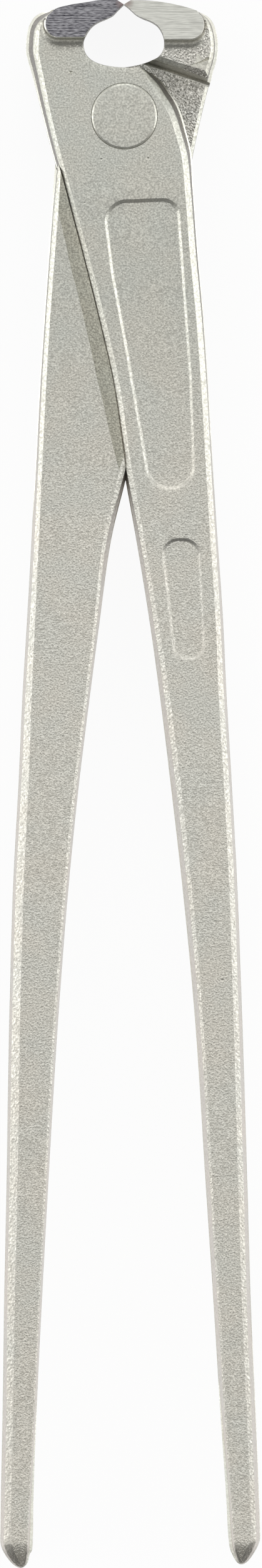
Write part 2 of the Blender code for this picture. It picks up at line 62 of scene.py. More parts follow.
# %% Front lever, from the nose round to the cutting edge
front_tables = {
    "jaw": (
        (-1.31, 22.03, 0.0, 0.0), (-5.05, 21.92, 0.0, 0.0), (-7.38, 21.56, 0.0, 0.0),
        (-9.86, 21.19, 0.0, 0.0), (-11.63, 20.82, 0.0, 0.0), (-13.02, 20.45, 0.03, 0.1),
        (-14.34, 20.11, 0.1, 0.7), (-15.4, 19.83, 0.2, 1.05), (-16.34, 19.42, 0.4, 1.25),
        (-17.05, 18.88, 0.6, 1.3), (-17.64, 18.04, 0.8, 1.3), (-18.15, 16.96, 0.95, 1.3),
        (-18.44, 15.65, 1.1, 1.3), (-18.62, 13.97, 1.1, 1.35), (-18.63, 12.06, 1.1, 1.35),
        (-18.39, 10.98, 1.1, 1.3), (-18.05, 9.78, 1.1, 1.2), (-17.6, 8.23, 1.05, 1.1),
        (-17.12, 6.32, 1.05, 1.0), (-16.21, 2.49, 1.0, 0.9), (-15.25, -1.34, 0.95, 0.8),
        (-14.29, -5.17, 0.95, 0.75), (-13.55, -7.8, 0.95, 0.7), (-11.94, -13.78, 0.95, 0.7),
        (-10.36, -19.76, 1.05, 0.65), (-8.77, -25.74, 1.15, 0.6), (-5.78, -37.7, 1.25, 0.55),
        (-3.02, -49.67, 1.25, 0.5), (-0.48, -66.89, 1.15, 0.5),
    ),
    "handle": (
        (1.73, -79.57, 1.0, 0.7), (4.57, -97.51, 1.05, 0.75), (6.17, -109.47, 1.1, 0.85),
        (8.3, -127.42, 1.05, 0.95), (10.29, -145.36, 0.95, 0.95), (12.52, -169.28, 0.75, 0.9),
        (14.75, -205.17, 0.6, 0.8), (16.23, -229.09, 0.55, 0.75), (17.26, -247.03, 0.5, 0.75),
        (18.43, -264.98, 0.45, 0.85), (18.8, -272.15, 0.45, 0.95), (18.95, -273.6, 0.45, 0.95),
        (19.2, -274.6, 0.45, 0.9), (19.6, -275.5, 0.45, 0.8), (20.1, -276.4, 0.5, 0.6),
        (20.6, -277.0, 0.6, 0.5), (21.35, -277.24, 0.8, 0.5), (22.15, -276.9, 0.95, 0.55),
        (22.85, -276.2, 1.05, 0.6), (23.5, -275.3, 1.1, 0.7), (24.05, -274.4, 1.1, 0.75),
        (24.5, -273.5, 1.1, 0.8), (24.82, -272.5, 1.1, 0.8), (24.85, -270.9, 1.1, 0.8),
        (24.69, -264.98, 1.05, 0.8), (24.06, -247.03, 0.95, 0.85), (23.32, -229.09, 1.0, 0.8),
        (22.7, -205.17, 1.1, 0.75), (21.71, -169.28, 1.1, 0.65), (20.88, -145.36, 1.1, 0.55),
        (19.97, -127.42, 1.1, 0.5), (18.99, -109.47, 1.1, 0.5), (18.49, -97.51, 1.0, 0.5),
        (16.98, -73.59, 1.1, 0.35), (15.64, -49.67, 1.1, 0.3), (14.88, -37.7, 1.15, 0.35),
        (13.91, -25.74, 1.2, 0.45),
        (13.08, -13.78, 1.2, 0.5), (12.61, -6.6, 1.2, 0.8), (11.65, -2.5, 1.2, 1.0),
        (10.86, 0.37, 1.2, 1.1), (9.92, 2.61, 1.25, 1.15), (8.66, 4.52, 1.3, 1.1),
        (7.05, 6.56, 1.2, 0.85), (5.15, 8.11, 0.9, 0.5), (3.9, 8.85, 0.4, 0.15),
    ),
    "mouth": (
        (2.94, 9.31, 0.1, 0.0), (0.07, 9.22, 0.1, 0.0), (-1.97, 9.37, 0.1, 0.0),
        (-3.88, 9.72, 0.1, 0.0), (-5.19, 10.14, 0.1, 0.0), (-6.68, 11.1, 0.1, 0.0),
        (-7.35, 12.06, 0.1, 0.0), (-7.69, 13.25, 0.1, 0.0), (-7.7, 14.21, 0.1, 0.0),
        (-7.45, 14.93, 0.1, 0.0), (-7.09, 15.65, 0.08, 0.0), (-6.0, 17.08, 0.06, 0.0),
        (-4.95, 17.8, 0.05, 0.0), (-3.25, 18.52, 0.03, 0.0), (-1.97, 19.23, 0.0, 0.0),
        (-1.29, 19.95, 0.0, 0.0), (-0.55, 20.67, 0.0, 0.0), (-0.03, 21.17, 0.0, 0.0),
    ),
}
print("front lever points:", sum(len(rows) for rows in front_tables.values()))

# %% [markdown]
# ## The rear lever
# Both forgings come from the same dies, but the two jaws were ground by hand and the handles
# were set by a press, so the rear lever differs by a few tenths of a millimetre. Its tables are
# written in its own frame: it is the same shape turned over, half a turn about the tool's axis.
# The parts that the front lever hides keep the front lever's own numbers.

# %% Rear lever tables
rear_jaw = (
    (-1.38, 22.01, 0.0, 0.0), (-4.41, 21.9, 0.0, 0.0), (-7.52, 21.53, 0.0, 0.0),
    (-9.58, 21.14, 0.0, 0.0), (-11.4, 20.71, 0.0, 0.0), (-12.67, 20.33, 0.0, 0.0),
    (-13.68, 19.97, 0.0, 0.0), (-14.6, 19.6, 0.1, 0.2), (-15.52, 19.15, 0.3, 0.4),
    (-16.27, 18.6, 0.45, 0.55), (-16.8, 17.9, 0.55, 0.65), (-17.24, 16.96, 0.6, 0.72),
    (-17.6, 15.65, 0.65, 0.76), (-17.83, 13.97, 0.65, 0.78), (-17.83, 12.3, 0.65, 0.78),
    (-17.68, 11.1, 0.7, 0.78), (-17.44, 10.02, 0.75, 0.78), (-17.05, 8.83, 0.8, 0.78),
    (-16.6, 7.1, 0.85, 0.78), (-15.83, 4.4, 0.9, 0.78), (-14.87, 0.57, 0.95, 0.72),
    (-13.98, -3.25, 0.95, 0.7), (-13.06, -7.6, 0.95, 0.7),
)
rear_handle = (
    (2.63, -79.57, 0.8, 0.8), (5.28, -97.51, 0.65, 0.45), (6.89, -109.47, 0.6, 0.42),
    (9.2, -127.42, 0.6, 0.42), (11.11, -145.36, 0.6, 0.42), (13.12, -169.28, 0.55, 0.4),
    (15.47, -205.17, 0.5, 0.38), (16.86, -229.09, 0.42, 0.38), (17.8, -247.03, 0.38, 0.4),
    (18.52, -264.98, 0.3, 0.75), (18.66, -272.15, 0.3, 0.95), (18.74, -273.8, 0.3, 0.95),
    (18.9, -274.55, 0.3, 0.85), (19.25, -275.0, 0.3, 0.6), (19.42, -275.7, 0.3, 0.5),
    (19.66, -276.6, 0.35, 0.45), (20.15, -277.35, 0.5, 0.45), (21.03, -277.75, 0.7, 0.45),
    (21.98, -277.4, 0.95, 0.5), (22.83, -276.7, 1.15, 0.55), (23.45, -275.95, 1.3, 0.6),
    (24.03, -275.1, 1.4, 0.65), (24.45, -274.3, 1.5, 0.7), (24.78, -273.4, 1.5, 0.7),
    (24.9, -272.4, 1.5, 0.7), (24.86, -270.9, 1.5, 0.7), (24.76, -264.98, 1.4, 0.75),
    (24.32, -247.03, 1.4, 0.75), (24.0, -229.09, 1.5, 0.65), (23.41, -205.17, 1.65, 0.6),
    (22.62, -169.28, 1.65, 0.55), (21.79, -145.36, 1.6, 0.55), (20.74, -127.42, 1.5, 0.55),
    (19.84, -109.47, 1.3, 0.55), (19.06, -97.51, 1.1, 0.55), (17.63, -73.59, 0.9, 0.55),
    (16.34, -49.67, 0.9, 0.5), (15.47, -37.7, 0.85, 0.45), (14.57, -25.74, 0.9, 0.45),
    (13.6, -13.78, 1.0, 0.5), (12.8, -6.6, 1.2, 0.7),
)
rear_mouth = (
    (2.94, 9.31, 0.1, 0.0), (0.6, 9.25, 0.1, 0.0), (-1.44, 9.49, 0.1, 0.0),
    (-4.07, 10.14, 0.1, 0.0), (-5.34, 10.62, 0.1, 0.0), (-6.46, 11.2, 0.1, 0.0),
    (-7.19, 12.06, 0.1, 0.0), (-7.56, 13.01, 0.1, 0.0), (-7.65, 13.97, 0.1, 0.0),
    (-7.52, 14.93, 0.1, 0.0), (-7.22, 15.75, 0.08, 0.0), (-6.4, 17.02, 0.06, 0.0),
    (-5.3, 17.8, 0.05, 0.0), (-3.58, 18.52, 0.03, 0.0), (-2.3, 19.23, 0.0, 0.0),
    (-1.49, 19.95, 0.0, 0.0), (-0.7, 20.67, 0.0, 0.0), (-0.03, 21.17, 0.0, 0.0),
)
rear_tables = {
    "jaw": rear_jaw + front_tables["jaw"][-6:],
    "handle": rear_handle + front_tables["handle"][-7:],
    "mouth": rear_mouth,
}
print("rear lever points:", sum(len(rows) for rows in rear_tables.values()))

# %% [markdown]
# ## From a few points to a smooth edge
# A cubic curve through the measured points gives the flowing line of a forging. Blender's own
# curve objects could do this too, but plain numbers make it possible to carry the edge width
# and the lean along the same curve. The curve is then thinned to the spacing that each region
# needs: fine round the jaws and the handle's end, coarser along the straight handle.

# %% Smooth outline
CROTCH = -75
CURVE_STEPS = 24
SPACINGS = ((19, 0.2), (5, 0.3), (CROTCH, 0.8), (-266, 1.8), (-math.inf, 0.35))


def smooth_run(points):
    """Points close together on a smooth curve through the given ones."""
    points = np.array(points, float)
    chords = np.linalg.norm(np.diff(points[:, :2], axis=0), axis=1)
    slopes = np.diff(points, axis=0) / chords[:, None]
    tangents = np.empty_like(points)
    tangents[0], tangents[-1] = slopes[0], slopes[-1]
    ahead, behind = chords[:-1, None], chords[1:, None]
    tangents[1:-1] = (slopes[:-1] * behind + slopes[1:] * ahead) / (ahead + behind)
    run = []
    for i, chord in enumerate(chords):
        for t in np.arange(CURVE_STEPS) / CURVE_STEPS:
            rise = t * t * (3 - 2 * t)
            run.append(
                points[i] * (1 - rise)
                + points[i + 1] * rise
                + tangents[i] * chord * t * (1 - t) ** 2
                - tangents[i + 1] * chord * t * t * (1 - t)
            )
    run.append(points[-1])
    return np.array(run)


def spacing_at(y):
    """The spacing of the first reach in the table that Y lies above."""
    return next(step for reach, step in SPACINGS if y > reach)


def thinned(run):
    """The points of a close run that stand at least one spacing apart, and its last one."""
    kept = [run[0]]
    for here in run[1:-1]:
        gone = math.dist(here[:2], kept[-1][:2])
        left = math.dist(here[:2], run[-1][:2])
        step = spacing_at(here[1])
        if gone >= step and left > step / 2:
            kept.append(here)
    kept.append(run[-1])
    return kept


def lever_outline(tables):
    """Rows of X, Y, edge width and lean, counter-clockwise from the nose to the cutting edge."""
    outside = smooth_run(tables["jaw"] + tables["handle"] + tables["mouth"][:1])
    mouth = smooth_run(tables["mouth"])
    rows = np.array(thinned(outside) + thinned(mouth)[1:])
    # The cubic can dip just below nothing where a width runs out.
    rows[:, 2:] = np.maximum(rows[:, 2:], 0)
    return rows


front_outline = lever_outline(front_tables)
rear_outline = lever_outline(rear_tables)
print("outline corners:", len(front_outline), len(rear_outline))

# %% [markdown]
# ## Thickness along the lever
# Seen from the side, the forging is 16 mm thick at the joint and thins to 8.8 mm at the end of
# the handle. The table is read with straight lines between its rows, and a running mean over
# 16 mm turns its corners into the long soft bend of a real neck. A lattice round a straight
# block could bend it in the same way, but a table shows what was measured. Over its last 5 mm
# the handle thins again, because its end is rounded over on a grinder.

# %% Half thickness at any reach
HALF_JOINT = 8.0
REACHES = (-281.0, -250.0, -172.0, -111.0, -86.0, -60.0, -30.6, -12.5, 23.0)
HALVES = (4.4, 4.49, 4.98, 5.3, 5.65, 6.33, 7.33, HALF_JOINT, HALF_JOINT)
BEND_REACH, BEND_SAMPLES = 8.0, 9
TIP_REACH, TIP_LENGTH, TIP_FALL, TIP_CURVE = -272.6, 5.0, 0.34, 1.25


def thickness_share(y):
    """Half thickness at Y as a share of the joint's."""
    window = np.linspace(-BEND_REACH, BEND_REACH, BEND_SAMPLES)
    past_tip = max(0.0, (TIP_REACH - y) / TIP_LENGTH)
    tip = 1 - TIP_FALL * past_tip ** TIP_CURVE
    return float(np.interp(y + window, REACHES, HALVES).mean()) / HALF_JOINT * tip


print("half thickness at the neck, mm:", round(thickness_share(-60) * HALF_JOINT, 2))

# %% [markdown]
# ## The ground pads
# After plating, the sides of both jaws are ground on a belt, which leaves a flat D of bare
# steel standing 2 mm proud of the joint's face. The D ends in two arcs, one above and one below
# its centre. Its wall is steep round that end and drops over a wider hollow fillet at its foot,
# on the side of the joint. Here the D is a line of points with a direction at each, and two
# profiles of height and run are blended along it. The height of any point beside the line comes
# from its distance to it, so the walls, the fillet and the rounded edge all agree. A block
# joined on with a Boolean would be quicker, but it would meet the face without a fillet.

# %% Pad line and the height beside it
PAD_HEIGHT = 2.0
PAD_TURNS = np.radians(np.arange(136, 271, 6))
PAD_SPACING, PAD_LEAD, PAD_TAIL_END = 0.3, 3.6, 0.5
FOOT_FADE = 1.5
# The D ends at its reach from the axis, in an upper and a lower arc round the centre's height.
# The steps of a profile hold a share of the pad's height and the run outward in mm.
front_pad = {
    "reach": 14.85, "centre": 17.5, "upper": 3.7, "lower": 2.45,
    "end": ((1.0, 0.0), (0.92, 0.30), (0.55, 0.40), (0.2, 0.5), (0.02, 0.62), (-0.03, 0.8),
            (0.0, 1.05)),
    "foot": ((1.0, 0.0), (0.93, 0.16), (0.68, 0.32), (0.42, 0.52), (0.26, 0.9), (0.12, 1.35),
             (0.0, 1.95)),
}
rear_pad = {
    "reach": 15.12, "centre": 17.2, "upper": 3.2, "lower": 2.62,
    "end": ((1.0, 0.0), (0.94, 0.07), (0.5, 0.14), (0.06, 0.22), (-0.08, 0.34), (-0.03, 0.5),
            (0.0, 0.65)),
    "foot": ((1.0, 0.0), (0.95, 0.2), (0.7, 0.4), (0.42, 0.62), (0.24, 1.0), (0.1, 1.4),
             (0.0, 1.9)),
}


def pad_line(pad):
    """Rows of X, Y, outward X, outward Y and foot share along the D, from nose to mouth."""
    rows = []
    for turn in PAD_TURNS:
        out = Vector((math.cos(turn), math.sin(turn)))
        radius = pad["upper"] if out.y > 0 else pad["lower"]
        spot = Vector((radius - pad["reach"], pad["centre"])) + out * radius
        rows.append((*spot, *out, max(0.0, -out.y) ** FOOT_FADE))
    first, out = Vector(rows[0][:2]), Vector(rows[0][2:4])
    onward = Vector((out.y, -out.x))
    lead_steps = np.arange(PAD_LEAD, PAD_SPACING / 2, -PAD_SPACING)
    lead = [(*(first + onward * t), *out, 0.0) for t in lead_steps]
    tail_y = pad["centre"] - pad["lower"]
    tail_steps = np.arange(rows[-1][0] + PAD_SPACING, PAD_TAIL_END, PAD_SPACING)
    tail = [(x, tail_y, 0.0, -1.0, 1.0) for x in tail_steps]
    return np.array(lead + rows + tail)


def pad_step(pad, share, step):
    """Height share and run in mm at one step of the profile, between the end and the foot."""
    return np.array(pad["end"][step]) * (1 - share) + np.array(pad["foot"][step]) * share


def pad_rise(pad, line, x, y):
    """The share of the pad's height at one place: 1 on the pad, 0 beyond its foot."""
    offsets = np.array((x, y)) - line[:, :2]
    closest = line[int(np.argmin((offsets ** 2).sum(1)))]
    out = float((np.array((x, y)) - closest[:2]) @ closest[2:4])
    steps = [pad_step(pad, closest[4], step) for step in range(len(pad["end"]))]
    heights, runs = zip(*steps)
    return float(np.interp(out, runs, heights))


for name, pad in (("front", front_pad), ("rear", rear_pad)):
    print(name, "pad line points:", len(pad_line(pad)))

# %% [markdown]
# ## The recessed panels
# The die leaves two shallow recesses with round corners on the handle's outer side. Each is a
# closed line: corners joined by arcs, then repeated inward at increasing depth for the soft
# step of its rim, which is half a millimetre deep. Their floors are plain. Relief in the
# material could hint at such a panel, but it would vanish from the side and from the mesh.

# %% Panel lines
# The steps of the rim hold the way inward and the depth. Corners hold X, Y and a radius.
PANEL_STEP = ((0.0, 0.0), (0.08, 0.03), (0.32, 0.21), (0.56, 0.39), (0.68, 0.45), (0.82, 0.48))
ARC_SPACING, SIDE_SPACING = 0.45, 1.2
long_panel = (
    (-4.4, -15.9, 4.3), (-2.8, -29.6, 70.0), (-0.45, -42.5, 70.0), (4.3, -71.1, 4.6),
    (13.4, -71.1, 4.6), (12.7, -49.5, 70.0), (10.35, -15.45, 3.4),
)
small_panel = ((6.35, -80.2, 3.2), (8.9, -103.6, 2.7), (15.2, -103.6, 2.9), (14.15, -80.2, 3.4))


def rounded(corners):
    """A closed line through corners of X, Y and radius, with an arc at each corner."""
    line = []
    for i, (x, y, radius) in enumerate(corners):
        here = Vector((x, y))
        back = (Vector(corners[i - 1][:2]) - here).normalized()
        onward = (Vector(corners[(i + 1) % len(corners)][:2]) - here).normalized()
        half_angle = back.angle(onward) / 2
        centre = here + (back + onward).normalized() * (radius / math.sin(half_angle))
        first = here + back * (radius / math.tan(half_angle)) - centre
        turn = (math.pi - 2 * half_angle) * (1 if back.cross(onward) < 0 else -1)
        steps = max(2, round(abs(turn) * radius / ARC_SPACING))
        for step in range(steps + 1):
            angle = turn * step / steps
            x_arm = first.x * math.cos(angle) - first.y * math.sin(angle)
            y_arm = first.x * math.sin(angle) + first.y * math.cos(angle)
            line.append((centre.x + x_arm, centre.y + y_arm))
    close = []
    for i, (x, y) in enumerate(line):
        pieces = math.ceil(math.dist((x, y), line[i - 1]) / SIDE_SPACING)
        for t in np.arange(1, pieces + 1) / pieces:
            close.append(tuple(Vector(line[i - 1]).lerp(Vector((x, y)), t)))
    return close


def inset(line, i, width):
    """One corner of a closed counter-clockwise line, moved inward square to both its sides."""
    here = Vector(line[i][:2])
    came = (here - Vector(line[i - 1][:2])).normalized()
    goes = (Vector(line[(i + 1) % len(line)][:2]) - here).normalized()
    inward = Vector((-came.y - goes.y, came.x + goes.x))
    return here + inward * (width / (1 + came.dot(goes)))


panel_lines = [rounded(panel) for panel in (long_panel, small_panel)]
print("panel line points:", [len(line) for line in panel_lines])

# %% [markdown]
# ## Rings round the edge
# The wall and the rounded edge are made of rings that all have one point for each corner of the
# outline. From the middle of the thickness outward they are the upright band, 0.6 mm high on
# each side, that trimming the flash leaves; the nearly flat ledge that the trimming tool cuts,
# which catches the light as a fine bright line and carries a painted highlight too; the drawn
# wall, which leans in so that the forging leaves its die, with painted shade near the joint;
# and the rounded edge, close to a 45 degree bevel with soft ends. That bevel is what gives the
# pliers their bright even border. A bevel modifier would give it one width everywhere, while
# the real one swells and narrows along the lever.

# %% Edge rings
BAND, LEDGE_RISE = 0.6, 0.15
# The steps of the bevel hold the way across it and the way up it, as shares.
BEVEL_STEPS = ((0.0, 0.0), (0.06, 0.10), (0.5, 0.52), (0.94, 0.96), (1.0, 1.0))
BEVEL_HEIGHT = 0.9
CROSSING_REACHES, CROSSING_HEIGHTS = (-70, -60, -24, -12), (0.9, 0.85, 0.85, 0.9)
CROSSING_X, JAW_START = 2, -8
LEDGE_REACHES = (-278, -262, -240, -80, -60, -10)
INNER_LEDGES = (0.6, 0.55, 0.1, 0.1, 0.4)
OUTER_LEDGES = (0.1, 0.1, 0.1, 0.1, 0.4)
FREE_EDGE_LEDGE, FREE_EDGE_X = 0.3, 2.5
HANDLE_REACHES, HANDLE_MIDDLES = (-278, CROTCH), (21.0, 9.0)


def ledge_share(x, y, jaw_ledge):
    """How much of the wall's lean is the ledge, for one place on the outline."""
    if x > FREE_EDGE_X and y > JAW_START:
        return FREE_EDGE_LEDGE
    inner = x < np.interp(y, HANDLE_REACHES, HANDLE_MIDDLES) and y < CROTCH
    shares = INNER_LEDGES if inner else OUTER_LEDGES
    return float(np.interp(y, LEDGE_REACHES, (*shares, jaw_ledge)))


def bevel_height(x, y):
    """Height of the rounded edge for each mm of its width: flatter where the levers cross."""
    if x > CROSSING_X or y > JAW_START:
        return BEVEL_HEIGHT
    return float(np.interp(y, CROSSING_REACHES, CROSSING_HEIGHTS))


def edge_rings(outline, shape, line):
    """Rings of X, Y and Z from the parting band up to the face, for the +Z side."""
    rows = [tuple(row) for row in outline]
    ledge = []
    for i, (row_x, row_y, _, lean) in enumerate(rows):
        x, y = inset(rows, i, lean * ledge_share(row_x, row_y, shape["ledge"]))
        ledge.append((x, y, BAND + LEDGE_RISE))
    rings = [[(x, y, BAND) for x, y, _, _ in rows], ledge]
    for across, up in BEVEL_STEPS:
        ring = []
        for i, (row_x, row_y, width, lean) in enumerate(rows):
            x, y = inset(rows, i, lean + width * across)
            rise = pad_rise(shape["pad"], line, x, y)
            drop = width * bevel_height(row_x, row_y) * (1 - up)
            ring.append((x, y, HALF_JOINT + PAD_HEIGHT * rise - drop))
        rings.append(ring)
    return rings


print("rings on each side:", len(BEVEL_STEPS) + 2)

# %% [markdown]
# ## Pits, a crease and a gentle wave
# A forged face is never quite flat. It waves by a few hundredths of a millimetre, scale leaves
# small pits, and the right jaw has a shallow crease where the metal folded in the die. All
# three could be painted on as relief, but real dents also bend the reflections round them.

# %% Marks on the faces
# Pits hold X, Y, a radius and a depth. The crease holds X, Y and half its width.
FRONT_PITS = (
    (-10.1, 8.3, 0.34, 0.30), (-4.4, -8.2, 0.26, 0.16), (4.5, -8.1, 0.30, 0.18),
    (18.0, -164.7, 0.30, 0.32), (-7.6, -16.4, 0.2, 0.1), (9.3, -121.0, 0.24, 0.14),
)
REAR_PITS = ((12.2, -118.0, 0.26, 0.16), (15.9, -86.3, 0.22, 0.12))
PIT_RINGS = ((0.0, 1.0), (0.45, 0.8), (1.0, 0.0), (1.5, 0.0))
PIT_CORNERS, PIT_STRETCH = 9, 1.2
REAR_CREASE = (
    (-16.95, 12.7, 0.04), (-16.8, 12.0, 0.16), (-16.45, 11.35, 0.3), (-15.9, 10.85, 0.3),
    (-15.2, 10.5, 0.18), (-14.4, 10.15, 0.12), (-13.5, 9.85, 0.08), (-12.7, 9.65, 0.04),
)
CREASE_LINES, CREASE_DEPTH = (-1.2, 0.0, 1.0), 1.1
WAVE_ACROSS, WAVE_ALONG, WAVE_HEIGHT = 9, 14, 0.05
RIPPLE_SCALE, RIPPLE_HEIGHT = 2.7, 0.02


def forged_wave(x, y, seed):
    """Height of the slow wave and the finer ripple on a forged face."""
    spot = Vector((x / WAVE_ACROSS, y / WAVE_ALONG, seed))
    return WAVE_HEIGHT * noise.noise(spot) + RIPPLE_HEIGHT * noise.noise(spot * RIPPLE_SCALE)


def crease_offset(crease, x, y):
    """Distance from the crease, positive on the side of the jaw's corner."""
    best = None
    for start, end in zip(crease[:-1], crease[1:]):
        a, b, here = Vector(start[:2]), Vector(end[:2]), Vector((x, y))
        t = min(1.0, max(0.0, (here - a).dot(b - a) / (b - a).length_squared))
        apart = here - a.lerp(b, t)
        if best is None or apart.length < abs(best):
            best = apart.length * (-1 if (b - a).cross(apart) > 0 else 1)
    return best


# The marked side is the one that the photograph shows: only it has panels, pits and a crease.
# The ledge is a share of the wall's lean, for the jaw.
front_shape = {"pad": front_pad, "panels": panel_lines, "pits": FRONT_PITS, "crease": (),
               "ledge": 0.36, "marked": 1, "seed": 0}
rear_shape = {"pad": rear_pad, "panels": (), "pits": REAR_PITS, "crease": REAR_CREASE,
              "ledge": 0.72, "marked": -1, "seed": 5}
print("marks on the faces:", len(panel_lines), "panels,", len(FRONT_PITS + REAR_PITS), "pits")

# %% [markdown]
# ## Filling the face
# Inside the last ring lies one broad face with lines on it that must stay sharp. A Delaunay
# triangulation joins the ring, the pad's lines, the panels' lines, the crease, the pits and a
# loose grid of free points in one sheet. A Boolean could cut the pads and panels too, but here
# each point's height is known, so the slopes come out smooth. The grid carries the wave.

# %% Face sheet
BORDER_GAP, SAME_PLACE = 0.1, 1e-5
GRID_ALONG, GRID_ACROSS = (-274.0, 21.5), (-18.0, 25.0)
HEAD_GRID, HANDLE_GRID = 2.0, 3.2
GRID_SHIFT, GRID_GAP, GRID_SEED = 0.2, 0.45, 7
MARKED_SEED, PLAIN_SEED = 1, 3


def inside(polygon, x, y):
    """True where the place lies within the closed line."""
    x1, y1 = polygon[:, 0], polygon[:, 1]
    x2, y2 = np.roll(x1, -1), np.roll(y1, -1)
    spans = (y1 > y) != (y2 > y)
    with np.errstate(divide="ignore", invalid="ignore"):
        crossing = x1 + (y - y1) * (x2 - x1) / (y2 - y1)
    return bool(np.count_nonzero(spans & (x < crossing)) % 2)


def nearest(places, x, y):
    """The number of the place nearest to X and Y, and its distance squared."""
    apart = ((places - (x, y)) ** 2).sum(1)
    return int(apart.argmin()), float(apart.min())


def far_from(places, x, y, gap):
    """True where no place is within the gap."""
    return nearest(places, x, y)[1] > gap * gap


def add_line(sheet, points, tops, closed=False):
    """A line that must stay an edge of the sheet; it joins the border where it leaves the face."""
    last, outside = None, False
    first = len(sheet["places"])
    for (x, y), top in zip(points, tops):
        border = sheet["border"]
        if not (inside(border, x, y) and far_from(border, x, y, BORDER_GAP)):
            if last is not None:
                sheet["edges"].append((last, nearest(border, x, y)[0]))
            last, outside = None, True
            continue
        if last is not None:
            sheet["edges"].append((last, len(sheet["places"])))
        elif outside:
            sheet["edges"].append((nearest(border, x, y)[0], len(sheet["places"])))
        last, outside = len(sheet["places"]), False
        sheet["places"].append((x, y))
        sheet["heights"].append(top)
    if closed:
        sheet["edges"].append((last, first))


def add_pad(sheet, pad, line):
    """Lines down the pad's wall and fillet; every second one is shifted by half a spacing."""
    for step in range(len(pad["end"])):
        rows = line if step % 2 == 0 else (line[1:] + line[:-1]) / 2
        steps = [pad_step(pad, row[4], step) for row in rows]
        points = [(x + ox * run, y + oy * run) for (x, y, ox, oy, _), (_, run) in zip(rows, steps)]
        add_line(sheet, points, [HALF_JOINT + PAD_HEIGHT * rise for rise, _ in steps])


def add_panel(sheet, panel):
    """Closed lines down the step of one panel's rim, shifted in the same way."""
    for at, (width, depth) in enumerate(PANEL_STEP):
        points = [inset(panel, i, width) for i in range(len(panel))]
        if at % 2:
            points = [(here + points[i - 1]) / 2 for i, here in enumerate(points)]
        add_line(sheet, [tuple(p) for p in points], [HALF_JOINT - depth] * len(panel), closed=True)


def add_crease(sheet, crease):
    """The line along the crease's bottom, and one along each of its sides."""
    for across in CREASE_LINES:
        points, tops = [], []
        for i, (x, y, half) in enumerate(crease):
            before, after = crease[max(i - 1, 0)], crease[min(i + 1, len(crease) - 1)]
            square = Vector((before[1] - after[1], after[0] - before[0])).normalized()
            points.append(tuple(Vector((x, y)) + square * across * half))
            tops.append(HALF_JOINT - (0.0 if across else half * CREASE_DEPTH))
        add_line(sheet, points, tops)


def add_pits(sheet, pits, seed):
    """Rings of points round the middle of each pit."""
    for x, y, radius, depth in pits:
        level = HALF_JOINT + forged_wave(x, y, seed)
        for reach, sink in PIT_RINGS:
            for turn in np.linspace(0, math.tau, PIT_CORNERS if reach else 1, endpoint=False):
                sheet["places"].append((x + reach * radius * math.cos(turn) * PIT_STRETCH,
                                        y + reach * radius * math.sin(turn)))
                sheet["heights"].append(level - depth * sink)


def add_grid(sheet, shape, line, panels, seed):
    """Free points in a loose grid on the pad, on the panels' floors and on the wavy face."""
    floors = []
    for panel in panels:
        floors.append(np.array([inset(panel, i, PANEL_STEP[-1][0]) for i in range(len(panel))]))
    fixed = np.array(sheet["places"])
    rng = np.random.default_rng(GRID_SEED + seed)
    y, end = GRID_ALONG
    while y < end:
        grid = HEAD_GRID if y > CROTCH else HANDLE_GRID
        for x in np.arange(*GRID_ACROSS, grid):
            spot = (x, y) + rng.uniform(-GRID_SHIFT, GRID_SHIFT, 2) * grid
            if inside(sheet["border"], *spot) and far_from(fixed, *spot, grid * GRID_GAP):
                rise = pad_rise(shape["pad"], line, *spot)
                sunk = any(inside(floor, *spot) for floor in floors)
                depth = PANEL_STEP[-1][1] if sunk else 0.0
                wave = forged_wave(*spot, seed) if rise == 0 else 0.0
                sheet["places"].append(tuple(spot))
                sheet["heights"].append(HALF_JOINT + PAD_HEIGHT * rise - depth + wave)
        y += grid


def face_sheet(ring, shape, line, marked):
    """Places, heights and triangles of the face, and the given point that each place was."""
    sheet = {
        "border": np.array([point[:2] for point in ring]),
        "places": [point[:2] for point in ring],
        "heights": [point[2] for point in ring],
        "edges": [(i, (i + 1) % len(ring)) for i in range(len(ring))],
    }
    seed = shape["seed"] + (MARKED_SEED if marked else PLAIN_SEED)
    panels = shape["panels"] if marked else ()
    add_pad(sheet, shape["pad"], line)
    for panel in panels:
        add_panel(sheet, panel)
    if marked:
        add_crease(sheet, shape["crease"])
        add_pits(sheet, shape["pits"], seed)
    add_grid(sheet, shape, line, panels, seed)
    corners = [Vector(spot) for spot in sheet["places"]]
    whole_ring = [list(range(len(ring)))]
    found = delaunay_2d_cdt(corners, sheet["edges"], whole_ring, 1, SAME_PLACE)
    places, _, triangles, origins = found[:4]
    owners = [origin[0] if origin else None for origin in origins]
    heights = []
    for spot, owner in zip(places, owners):
        if owner is None:
            owner = nearest(np.array(sheet["places"]), *spot)[0]
        heights.append(sheet["heights"][owner])
    return places, heights, triangles, owners


print("lines down a pad and down a panel:", len(front_pad["end"]), len(PANEL_STEP))

# %% [markdown]
# ## One whole forging
# The rings of both sides and the two face sheets close into one body. One half could be
# mirrored, but a real forging has its marks on one side only. Heights are scaled by the
# thickness at each reach at the very end, so the joint and the thin handle end share one recipe.
# Seven finishes lie on a forging, in this order: the pebbled zinc of the faces, the bare ground
# steel of the pads, the rough floor of the lap, the drawn wall with painted shade, the trimmed
# ledge and the pads' rims with a painted highlight, the smoother zinc of the rounded edges and
# slopes, and the ramp with painted shade.
# On the lap's side, the face between the pad and the shoulder is as rough as the lap's floor.

# %% Forging mesh
ZINC, GROUND, ROUGH, WALL, PAINTED_HIGHLIGHT, EDGE, RAMP = range(7)
WALL_RING = 1
PAD_TOP, PAD_WALL, PAD_FLAT = 0.9999, (0.25, 0.93), 0.06
PAD_FOOT_BELOW = 15.7
HANDLE_START, STEEP = -10, 0.12
ROUGH_START = 6
CREASE_REACH, CREASE_SIDE = 0.75, -12.9
MERGE_WITHIN = 0.0005


